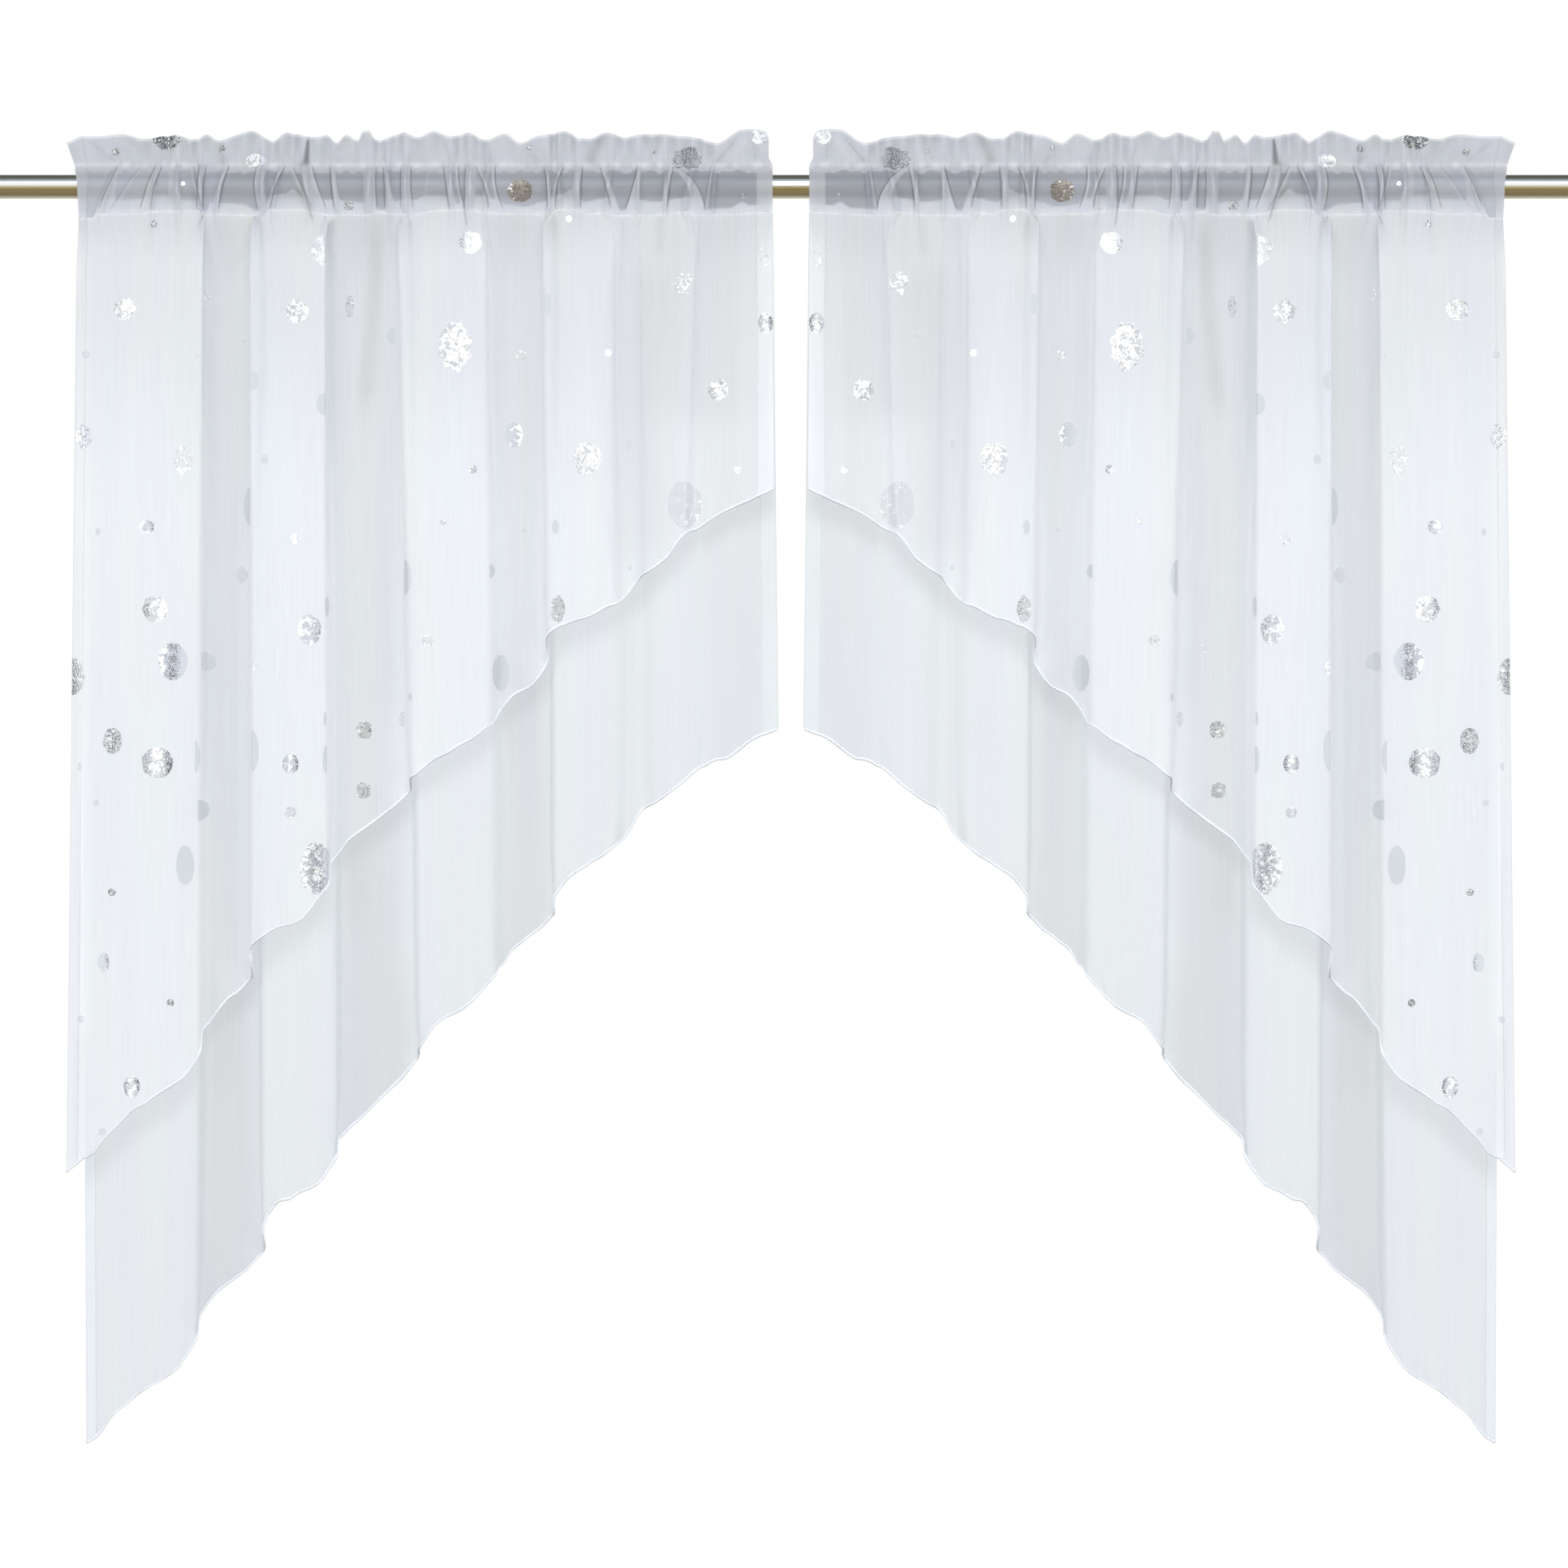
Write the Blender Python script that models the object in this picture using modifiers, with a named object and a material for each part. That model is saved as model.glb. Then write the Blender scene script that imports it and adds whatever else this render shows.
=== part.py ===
"""A pair of sheer cafe curtains gathered on a curtain rod.

Each curtain has a short front panel and a long back panel. Both are sewn together along two seams, which
leave a pocket for the rod and a ruffled header above it. Their lower hems are cut on a slant, long at the
outer side. The origin lies on the rod's axis, midway between the curtains. X runs along the rod, Y to the
back and Z up.
"""

import math
from collections import namedtuple

import bmesh
import bpy
from mathutils import Vector

MM = 0.001

# Rod
ROD_DIAMETER = 20 * MM
ROD_LENGTH = 1320 * MM
ROD_SIDES = 32
ROD_EDGE = 0.8 * MM
SHARP_ANGLE = math.radians(45)

# Each curtain as it hangs, and the space between the pair
CURTAIN_WIDTH = 570 * MM
BETWEEN_CURTAINS = 30 * MM

# Cloth, with the space between layers that touch
CLOTH = 1.2 * MM
ROD_CLEARANCE = 0.4 * MM
SEAM_CLEARANCE = 0.8 * MM

# Heights of the two seams above the rod's axis
TOP_SEAM = 17 * MM
BOTTOM_SEAM = -20 * MM

# The pocket's flat stretch in front of the rod and behind it
POCKET_TOP = 4.5 * MM
POCKET_BOTTOM = -4.5 * MM

# The header's corners, where its outer end flares out and its inner end leans back, and its ruffle's
# reach to the front and to the back where gathers are at least the full span apart
OUTER_FLARE = 8 * MM
INNER_TUCK = 4 * MM
CORNER_REACH = 30 * MM
RUFFLE_FRONT = 6 * MM
RUFFLE_BACK = 4 * MM
FULL_RUFFLE_SPAN = 22 * MM

# How much of a gather's height is left at the seams, and the drop over which gathers open into folds
SEAM_SHARE = 0.3
GATHER_DROP = 28 * MM
FOLD_DROP = 60 * MM

# The fullness of the folds' crowns at the top, and what they gain in a metre of drop
TOP_FULLNESS = 0.7
FULLNESS_GAIN = 0.5

# Gathers in millimetres, from the outer side to the inner one.
# at: place across the curtain. slant: how far the top of the ridge leans to the inner side.
# half: half its width. height: how far it stands off the rod. edge: the header's edge above the rod's
# axis over the ridge. crest: the same halfway to the next gather.
Gather = namedtuple("Gather", "at slant half height edge crest")
GATHERS = (
    Gather(25, 14, 4.0, 4.0, 42, 43),
    Gather(63, 5, 3.0, 5.0, 40, 41),
    Gather(82, 0, 3.5, 6.0, 42, 40),
    Gather(101, -2, 3.0, 7.0, 43, 41),
    Gather(117, 8, 3.0, 4.5, 38, 46),
    Gather(152, 0, 4.5, 7.0, 39, 38),
    Gather(163, 7, 3.0, 5.0, 38, 44),
    Gather(188, -6, 5.0, 8.0, 42, 43),
    Gather(211, -4, 3.0, 4.5, 36, 43),
    Gather(239, 2, 5.0, 7.0, 46, 40),
    Gather(255, -2, 3.5, 6.0, 42, 45),
    Gather(269, 0, 3.5, 5.0, 45, 44),
    Gather(306, 0, 4.0, 6.0, 42, 44),
    Gather(322, 0, 4.0, 6.5, 44, 42),
    Gather(335, 3, 3.5, 5.0, 38, 42),
    Gather(386, 0, 3.0, 5.0, 42, 42),
    Gather(395, 0, 3.0, 6.0, 43, 46),
    Gather(410, 0, 4.0, 6.0, 40, 44),
    Gather(435, 5, 4.0, 5.5, 44, 42),
    Gather(460, 0, 3.0, 4.5, 42, 43),
    Gather(482, 0, 3.0, 5.0, 43, 41),
    Gather(501, 8, 4.5, 6.0, 41, 38),
    Gather(522, 3, 3.0, 4.0, 36, 44),
)
OUTER_EDGE_RISE = 38
INNER_EDGE_RISE = 45

# Folds below the gathers in millimetres, from the outer side to the inner one.
# at: place across the curtain. drift: how far the cloth there leans to the inner side in a metre of drop.
# depth: how far back the cloth beyond the fold hangs. crown: how much further its middle stands.
# roll: how far the cloth doubles under itself there. soft: half the width of the turn.
Fold = namedtuple("Fold", "at drift depth crown roll soft")
FRONT_FOLDS = (
    Fold(0, -11, -11, -4, 0, 7),
    Fold(100, -3, 9, 2, 8, 7),
    Fold(145, 0, -12, -4, 9, 7),
    Fold(200, 6, 7, 2, 8, 7),
    Fold(264, 20, -10, -4, 7, 7),
    Fold(335, 12, 6, 1, 5, 9),
    Fold(387, 5, -11, -3, 8, 7),
    Fold(440, 4, 0, 0, 4, 9),
    Fold(461, 8, -7, -3, 3, 8),
    Fold(508, -30, 0, 1, 5, 9),
    Fold(556, 0, -4, 0, 0, 5),
)
BACK_FOLDS = (
    Fold(0, 6, 15, -2, 0, 7),
    Fold(100, -8, 31, 2, 8, 7),
    Fold(148, 6, 15, -2, 9, 7),
    Fold(206, 2, 29, 2, 8, 7),
    Fold(272, 12, 14, -2, 7, 7),
    Fold(337, 6, 28, 1, 6, 9),
    Fold(391, 2, 15, -2, 8, 7),
    Fold(446, -6, 23, 0, 4, 9),
    Fold(470, -4, 17, -2, 4, 9),
    Fold(508, 0, 22, 1, 5, 9),
)

# facing: -1 to the front of the rod, 1 behind it. hem_inner and hem_outer: the height of the slanted hem
# at the curtain's two sides. lift_inner and lift_outer: the pull of each half of the hem's cut above the
# straight line between them. inner_drift: the drift of the inner side, in millimetres. edge_drop: how much
# lower than the front panel the header's edge is cut.
Layer = namedtuple(
    "Layer", "name facing folds hem_inner hem_outer lift_inner lift_outer inner_drift edge_drop"
)
LAYERS = (
    Layer("front", -1, FRONT_FOLDS, -247 * MM, -808 * MM, 36 * MM, 50 * MM, 6, 0),
    Layer("back", 1, BACK_FOLDS, -444 * MM, -1033 * MM, 54 * MM, 8 * MM, 11, 2 * MM),
)

# Rows of points down the cloth: shares of the header's height, drops below the bottom seam where all
# gathers show, drops where folds show, and shares of what is left down to the hem
HEADER_ROWS = (1.0, 0.0)
GATHER_ROWS = (0.0, 10 * MM)
FOLD_ROWS = (28 * MM, 60 * MM)
HEM_ROWS = (0.3, 0.65, 1.0)

# Places of the points in a fold's turn, as shares of its softness. A fold is sharp past this roll.
SHARP_TURN = (-1.9, -0.8, 0.0, 0.8, 1.9)
SOFT_TURN = (-1.2, 0.0, 1.2)
SHARP_ROLL = 6

# The space between gathers that takes a point of its own, in millimetres, and the steps of a measured length
WIDE_SPAN = 16
LENGTH_STEPS = 1200

VOILE = (0.82, 0.85, 0.89, 1.0)
ROD_METAL = (0.55, 0.50, 0.40, 1.0)


def clear_scene():
    for item in list(bpy.data.objects):
        bpy.data.objects.remove(item, do_unlink=True)


def plain_material(name, colour, roughness, metallic):
    material = bpy.data.materials.new(name)
    material.use_nodes = True
    shader = material.node_tree.nodes["Principled BSDF"]
    shader.inputs["Base Color"].default_value = colour
    shader.inputs["Roughness"].default_value = roughness
    shader.inputs["Metallic"].default_value = metallic
    return material


def ease(share):
    """0 up to 1, level at both ends."""
    share = min(max(share, 0.0), 1.0)
    return share * share * (3 - 2 * share)


def bump(place):
    """1 at 0, falling to 0 at -1 and 1."""
    return (1 - place * place) ** 2 if abs(place) < 1 else 0.0


def swing(place):
    """The sideways course of a doubled fold: about -1 before its middle, 1 after it, and 0 past two."""
    return 1.75 * place * (1 - (place / 2) ** 2) ** 2 if abs(place) < 2 else 0.0


def waved(stations, place):
    """The value at a place, on smooth half waves through (place, value) stations."""
    before = stations[0]
    for after in stations:
        if after[0] >= place:
            span = after[0] - before[0]
            share = (place - before[0]) / span if span > 0 else 1.0
            return before[1] + (after[1] - before[1]) * ease(share)
        before = after
    return stations[-1][1]


def half_way(first, second):
    return (first + second) / 2


def gather_ends():
    """The gathers' places, with the curtain's two sides."""
    return [0.0] + [gather.at for gather in GATHERS] + [CURTAIN_WIDTH / MM]


def edge_stations():
    """The header's ruffled edge: its height over each gather and between them."""
    stations = [(0.0, OUTER_EDGE_RISE)]
    ends = gather_ends()
    for gather, following in zip(GATHERS, ends[2:]):
        stations.append((gather.at, gather.edge))
        stations.append((half_way(gather.at, following), gather.crest))
    stations.append((ends[-1], INNER_EDGE_RISE))
    return stations


def ruffle_stations():
    """How far the header's edge waves to the front over gathers and to the back between them."""
    ends = gather_ends()
    stations = [(0.0, 0.0)]
    for before, gather, following in zip(ends, GATHERS, ends[2:]):
        fullness = min(1.0, (following - before) / 2 / (FULL_RUFFLE_SPAN / MM))
        stations.append((gather.at, -RUFFLE_FRONT * fullness))
        fullness = min(1.0, (following - gather.at) / (FULL_RUFFLE_SPAN / MM))
        stations.append((half_way(gather.at, following), RUFFLE_BACK * fullness))
    stations.append((ends[-1], -RUFFLE_FRONT / 2))
    return stations


def slant_stations():
    return [(0.0, 0.0)] + [(gather.at, gather.slant) for gather in GATHERS] + [(CURTAIN_WIDTH / MM, 0.0)]


EDGE = edge_stations()
RUFFLE = ruffle_stations()
SLANT = slant_stations()


def ridge(across):
    """How far the gathers lift the cloth off the rod."""
    return MM * max(gather.height * bump((across - gather.at) / gather.half) for gather in GATHERS)


def lean(layer, across):
    """Sideways drift of a thread for each metre of drop."""
    stations = [(fold.at, fold.drift) for fold in layer.folds]
    return MM * waved(stations + [(CURTAIN_WIDTH / MM, layer.inner_drift)], across)


def header_point(layer, across, share):
    """A point of the ruffled header, from the top seam (share 0) to its free edge (share 1)."""
    full_rise = waved(EDGE, across) * MM - TOP_SEAM
    rise = (full_rise - layer.edge_drop) * share
    open_share = rise / full_rise
    from_inner = CURTAIN_WIDTH - across * MM
    flare = OUTER_FLARE * max(0.0, 1 - across * MM / CORNER_REACH)
    flare += INNER_TUCK * max(0.0, 1 - from_inner / CORNER_REACH)
    side = waved(SLANT, across) * MM / 2 - flare * open_share
    wave = -SEAM_SHARE * ridge(across) * (1 - open_share) + waved(RUFFLE, across) * open_share
    depth = wave + layer.facing * SEAM_CLEARANCE / 2
    return Vector((across * MM + side, depth, TOP_SEAM + rise))


def pocket_point(layer, across, height):
    """A point of the pocket beside the rod, where each gather stands off it in a ridge."""
    share = (height - BOTTOM_SEAM) / (TOP_SEAM - BOTTOM_SEAM)
    side = waved(SLANT, across) * MM * (share - 0.5)
    depth = layer.facing * (ROD_DIAMETER / 2 + ROD_CLEARANCE + ridge(across))
    return Vector((across * MM + side, depth, height))


def fold_ends(folds):
    """Where each stretch of cloth beyond a fold ends: at the next fold, or at the curtain's inner side."""
    return [fold.at for fold in folds[1:]] + [CURTAIN_WIDTH / MM]


def fold_course(folds, across, fullness=1.0):
    """How the folds move the cloth there: sideways and to the back. fullness scales their crowns."""
    side = 0.0
    depth = folds[0].depth
    for before, fold in zip(folds, folds[1:]):
        turn = (across - fold.at) / fold.soft
        side -= fold.roll * swing(turn)
        depth += (fold.depth - before.depth) * ease((turn + 1) / 2)
    for fold, end in zip(folds, fold_ends(folds)):
        depth += fullness * fold.crown * bump(2 * (across - half_way(fold.at, end)) / (end - fold.at))
    return side * MM, depth * MM


def body_point(layer, across, drop):
    """A point below the bottom seam, where the gathers open into folds."""
    side, depth = fold_course(layer.folds, across, TOP_FULLNESS + FULLNESS_GAIN * drop)
    open_share = ease(drop / FOLD_DROP)
    gather_share = 1 - ease(drop / GATHER_DROP)
    slant = -waved(SLANT, across) * MM / 2
    sideways = across * MM + slant * gather_share + side * open_share + lean(layer, across) * drop
    wave = -SEAM_SHARE * ridge(across) * gather_share
    depth = wave + layer.facing * SEAM_CLEARANCE / 2 + depth * open_share
    return Vector((sideways, depth, BOTTOM_SEAM - drop))


def cloth_lengths(layer):
    """The cloth's own length from the outer side to each of many even places, round all its folds."""
    width = CURTAIN_WIDTH / MM
    places = [width * step / LENGTH_STEPS for step in range(LENGTH_STEPS + 1)]
    lengths = [0.0]
    before = None
    for place in places:
        side, depth = fold_course(layer.folds, place)
        here = Vector((place * MM + side, depth))
        if before is not None:
            lengths.append(lengths[-1] + (here - before).length)
        before = here
    return lengths


def hem_drop(layer, lengths, across):
    """The drop of the hem there. It is one slanted, slightly bowed cut in the flat cloth."""
    step = across * MM / CURTAIN_WIDTH * LENGTH_STEPS
    low = min(int(step), LENGTH_STEPS - 1)
    length = lengths[low] + (lengths[low + 1] - lengths[low]) * (step - low)
    share = length / lengths[-1]
    lift = 3 * share * (1 - share) * (layer.lift_outer * (1 - share) + layer.lift_inner * share)
    return BOTTOM_SEAM - (layer.hem_outer + (layer.hem_inner - layer.hem_outer) * share + lift)


def gather_columns():
    """Places across the heading: both feet and the top of each gather, and the middle of wide spans."""
    columns = {0.0, CURTAIN_WIDTH / MM}
    ends = gather_ends()
    for before, gather in zip(ends, GATHERS):
        columns.update((gather.at - gather.half, gather.at, gather.at + gather.half))
        if gather.at - before > WIDE_SPAN:
            columns.add(half_way(before, gather.at))
    last = GATHERS[-1].at
    columns.add(last + (ends[-1] - last) / 3)
    columns.add(last + (ends[-1] - last) * 2 / 3)
    return sorted(columns)


def fold_columns(layer):
    """Places across the folds: each turn and the middle between turns."""
    width = CURTAIN_WIDTH / MM
    columns = {0.0, width}
    for fold, end in zip(layer.folds, fold_ends(layer.folds)):
        columns.add(half_way(fold.at, end))
        turn = SHARP_TURN if fold.roll > SHARP_ROLL else SOFT_TURN
        columns.update(fold.at + fold.soft * share for share in turn)
    return sorted(column for column in columns if 0 <= column <= width)


def cloth_rows(layer):
    """The rows of the cloth from the header's edge to the hem, each a list of (across, point)."""
    lengths = cloth_lengths(layer)
    gathers = gather_columns()
    folds = fold_columns(layer)
    rows = [[(across, header_point(layer, across, share)) for across in gathers] for share in HEADER_ROWS]
    for height in (POCKET_TOP, POCKET_BOTTOM):
        rows.append([(across, pocket_point(layer, across, height)) for across in gathers])
    for drop in GATHER_ROWS:
        rows.append([(across, body_point(layer, across, drop)) for across in gathers])
    for drop in FOLD_ROWS:
        rows.append([(across, body_point(layer, across, drop)) for across in folds])
    for share in HEM_ROWS:
        row = []
        for across in folds:
            drop = FOLD_ROWS[-1] + (hem_drop(layer, lengths, across) - FOLD_ROWS[-1]) * share
            row.append((across, body_point(layer, across, drop)))
        rows.append(row)
    return rows


def bridge(mesh, upper, lower, outward):
    """Joins two rows of (across, vertex), which may have different columns, with triangles."""
    high = 0
    low = 0
    while high < len(upper) - 1 or low < len(lower) - 1:
        next_high = upper[high + 1][0] if high < len(upper) - 1 else math.inf
        next_low = lower[low + 1][0] if low < len(lower) - 1 else math.inf
        corners = [upper[high][1], lower[low][1]]
        if next_low <= next_high:
            low += 1
            corners.append(lower[low][1])
        else:
            high += 1
            corners.append(upper[high][1])
        mesh.faces.new(corners if outward else corners[::-1])


def add_panel(side_name, side, layer, material, collection):
    """One panel of cloth. side is -1 for the left curtain and 1 for the right."""
    mesh = bmesh.new()
    inner = BETWEEN_CURTAINS / 2
    rows = []
    for row in cloth_rows(layer):
        made = []
        for across, point in row:
            place = (side * (inner + CURTAIN_WIDTH - point.x), point.y, point.z)
            made.append((across, mesh.verts.new(place)))
        rows.append(made)
    for upper, lower in zip(rows, rows[1:]):
        bridge(mesh, upper, lower, side == layer.facing)
    name = f"{side_name}_{layer.name}_panel"
    data = bpy.data.meshes.new(name)
    mesh.to_mesh(data)
    mesh.free()
    data.shade_smooth()
    panel = bpy.data.objects.new(name, data)
    collection.objects.link(panel)
    data.materials.append(material)
    thickness = panel.modifiers.new("Cloth thickness", "SOLIDIFY")
    thickness.thickness = CLOTH
    thickness.offset = 1
    thickness.use_even_offset = True
    thickness.use_quality_normals = True
    return panel


def add_rod(material, collection):
    """The plain round rod, with slightly eased ends."""
    bpy.ops.mesh.primitive_cylinder_add(
        vertices=ROD_SIDES, radius=ROD_DIAMETER / 2, depth=ROD_LENGTH, rotation=(0, math.radians(90), 0)
    )
    rod = bpy.context.object
    rod.name = "rod"
    for other in rod.users_collection:
        other.objects.unlink(rod)
    collection.objects.link(rod)
    rod.data.materials.append(material)
    rod.data.shade_smooth()
    rod.data.set_sharp_from_angle(angle=SHARP_ANGLE)
    edge = rod.modifiers.new("End edges", "BEVEL")
    edge.width = ROD_EDGE
    edge.segments = 2
    edge.limit_method = "ANGLE"
    edge.angle_limit = SHARP_ANGLE
    return rod


def main():
    clear_scene()
    collection = bpy.data.collections.new("cafe_curtains")
    bpy.context.scene.collection.children.link(collection)
    voile = plain_material("voile", VOILE, 0.8, 0.0)
    metal = plain_material("rod_metal", ROD_METAL, 0.35, 1.0)
    add_rod(metal, collection)
    for side_name, side in (("left", -1), ("right", 1)):
        for layer in LAYERS:
            add_panel(side_name, side, layer, voile, collection)


main()
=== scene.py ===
"""The looks of a pair of sheer cafe curtains gathered on a curtain rod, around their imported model.

Each panel of voile is a thin sheet on the folds of its solid, with the fine gathers, puckers and creases
that the solid leaves out, a rolled hem, stitched seams and, on the front panels, a print of foil dots.
Lengths are in metres and the tables in millimetres. across runs from a curtain's outer side to its inner
one, and the right curtain is the mirror image of the left.
"""

import math
from collections import namedtuple

import bpy
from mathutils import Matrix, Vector, noise


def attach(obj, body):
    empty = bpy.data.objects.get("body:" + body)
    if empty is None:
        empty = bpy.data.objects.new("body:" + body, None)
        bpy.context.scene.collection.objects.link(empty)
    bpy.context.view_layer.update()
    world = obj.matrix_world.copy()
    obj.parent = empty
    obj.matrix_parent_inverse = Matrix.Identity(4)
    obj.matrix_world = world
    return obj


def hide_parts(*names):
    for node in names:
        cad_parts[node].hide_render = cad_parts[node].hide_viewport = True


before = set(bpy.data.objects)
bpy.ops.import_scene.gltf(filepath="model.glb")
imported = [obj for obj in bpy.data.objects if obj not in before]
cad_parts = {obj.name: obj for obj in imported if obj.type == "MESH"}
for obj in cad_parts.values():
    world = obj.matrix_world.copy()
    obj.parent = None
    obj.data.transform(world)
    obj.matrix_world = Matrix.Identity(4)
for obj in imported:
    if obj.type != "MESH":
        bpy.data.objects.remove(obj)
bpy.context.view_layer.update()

MM = 0.001

# Sizes that the sheets share with the solids
ROD_DIAMETER = 20 * MM
CURTAIN_WIDTH = 570 * MM
BETWEEN_CURTAINS = 30 * MM
ROD_CLEARANCE = 0.4 * MM
SEAM_CLEARANCE = 0.8 * MM
TOP_SEAM = 17 * MM
BOTTOM_SEAM = -20 * MM
CORNER_REACH = 30 * MM
RUFFLE_FRONT = 6 * MM
RUFFLE_BACK = 4 * MM
FULL_RUFFLE_SPAN = 22 * MM
SEAM_SHARE = 0.3
GATHER_DROP = 28 * MM
FOLD_DROP = 60 * MM
TOP_FULLNESS = 0.7
FULLNESS_GAIN = 0.5
WIDTH_MM = CURTAIN_WIDTH / MM

# Sizes of the sheets alone. The header's outer corner flares further out than the solid's, and its inner
# one is tucked in less. SEAM_FLARE: the share of the flare at the seam. TUCK_RATE: how many times sooner
# the tuck is full. SPREAD_DROP: how far below the seam the doubled folds are full. RIDGE_POWER: how full
# the gathers stand near the seams. WAVER_RATE: how soon the bottom seam's waver dies out in the pocket.
OUTER_FLARE = 10 * MM
SEAM_FLARE = 0.3
INNER_TUCK = 3.2 * MM
TUCK_RATE = 3
SPREAD_DROP = 9 * MM
SHEET_CLEARANCE = 0.2 * MM
RIDGE_POWER = 0.7
WAVER_RATE = 1.6

# Gathers in millimetres, from the outer side to the inner one.
# at: place across the curtain. slant: how far the top of the ridge leans to the inner side.
# half: half its width. height: how far it stands off the rod.
Gather = namedtuple("Gather", "at slant half height")
GATHERS = [Gather(*row) for row in (
    (25, 14, 4, 4), (63, 5, 3, 5), (82, 0, 3.5, 6), (101, -2, 3, 7), (117, 8, 3, 4.5), (152, 0, 4.5, 7),
    (163, 7, 3, 5), (188, -6, 5, 8), (211, -4, 3, 4.5), (239, 2, 5, 7), (255, -2, 3.5, 6), (269, 0, 3.5, 5),
    (306, 0, 4, 6), (322, 0, 4, 6.5), (335, 3, 3.5, 5), (386, 0, 3, 5), (395, 0, 3, 6), (410, 0, 4, 6),
    (435, 5, 4, 5.5), (460, 0, 3, 4.5), (482, 0, 3, 5), (501, 8, 4.5, 6), (522, 3, 3, 4),
)]
# Height of the header's ruffled edge above the rod's axis, (across, height) in millimetres as it hangs
HEADER_EDGE = (
    (0, 37), (10, 41.5), (22, 41.2), (37, 42.8), (57, 39.4), (77, 42.4), (98, 38.9), (105.5, 43),
    (116, 37.9), (141, 46.3), (159.5, 37.7), (172, 44.5), (189.5, 41), (203.5, 42.5), (212.5, 36),
    (219.5, 43), (229.5, 38.7), (233.5, 45.3), (238.5, 45.8), (244, 38.8), (247, 38.4), (267, 44.4),
    (278, 40.7), (290.5, 46.2), (305.5, 41), (319.5, 44.3), (335.5, 38.2), (350, 43.8), (362.5, 36.9),
    (379, 41.8), (401, 45.8), (411, 39.4), (417, 39.6), (433, 44.3), (448.5, 41), (470.5, 43.5),
    (493, 42.1), (509, 39.9), (524, 35.5), (546, 47.8), (551, 48), (561.5, 47), (567, 45.5), (570, 40.5),
)

# Pleats that cross the rod in the pocket, in millimetres. top and foot: their middles at the top and foot
# of the rod. wide: their width. flare: how much wider, in widths, their foot is. bow: how far their middle
# bends to the inner side. pale: how pale they are, clear of the painted shade of the cloth on the rod.
# lines:
# the side of their painted crease shade and edge highlight, -1 for the outer side, 1 for the inner one, 2
# for both and 0 for none.
Pleat = namedtuple("Pleat", "top foot wide flare bow pale lines")
PLEATS = [Pleat(*row) for row in (
    (33, 26, 2, 4, 0, 1, -1), (52, 34.5, 2.5, 0.5, 0, 0.5, -1), (65, 57, 4.5, 0.4, 0, 1, 2),
    (77.5, 79, 6.5, 0.5, 0, 0.9, 0), (93, 98.5, 1.8, 0, 0, 0.7, 1), (102, 100.3, 3.2, 0.2, 0, 1, 2),
    (120.7, 113.8, 3.4, 0.3, 0, 1, 1), (150.5, 150.5, 8, 0, -1, 0.9, -1), (167, 157.2, 2.2, 0.2, 0, 1, 1),
    (174.5, 187, 3, 0, 0, 0.7, 1), (187, 194.5, 9.5, 0.2, 0, 1, 1), (209.2, 212.3, 4, 0.2, 0, 1, -1),
    (239, 239.5, 9.5, 0, 0, 0.8, 1), (252.3, 255.8, 2.6, 1.6, 0, 1, -1),
    (268.9, 269.5, 6.6, 0.2, 0, 0.85, 2), (288, 285, 1.6, 0, 0, 0.3, 0), (303, 307, 4.4, 0.2, 0, 1, -1),
    (310.5, 314, 1.6, 0, -0.6, 1, 1), (322.5, 322, 8.4, 0, 0, 1, -1), (328.5, 338, 2, 0.3, 1.2, 1, -1),
    (340.6, 344, 1.6, 0.6, -1, 1, 1), (384, 387, 1.8, 0.3, 0.8, 1, -1), (396.2, 390, 2, 0.3, -0.8, 1, 1),
    (410.3, 408.4, 5.5, 0.2, 0, 1, 1), (431, 439, 3.2, 0.5, 0, 1, -1), (461, 456.5, 3.4, 1.4, 0, 1, -1),
    (486, 481.5, 2.8, 0.4, 0, 1, 1), (491, 507, 5.4, 1, 3.5, 1, 1), (520.4, 516.5, 1.6, 0, 0, 0.5, -1),
)]
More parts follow.
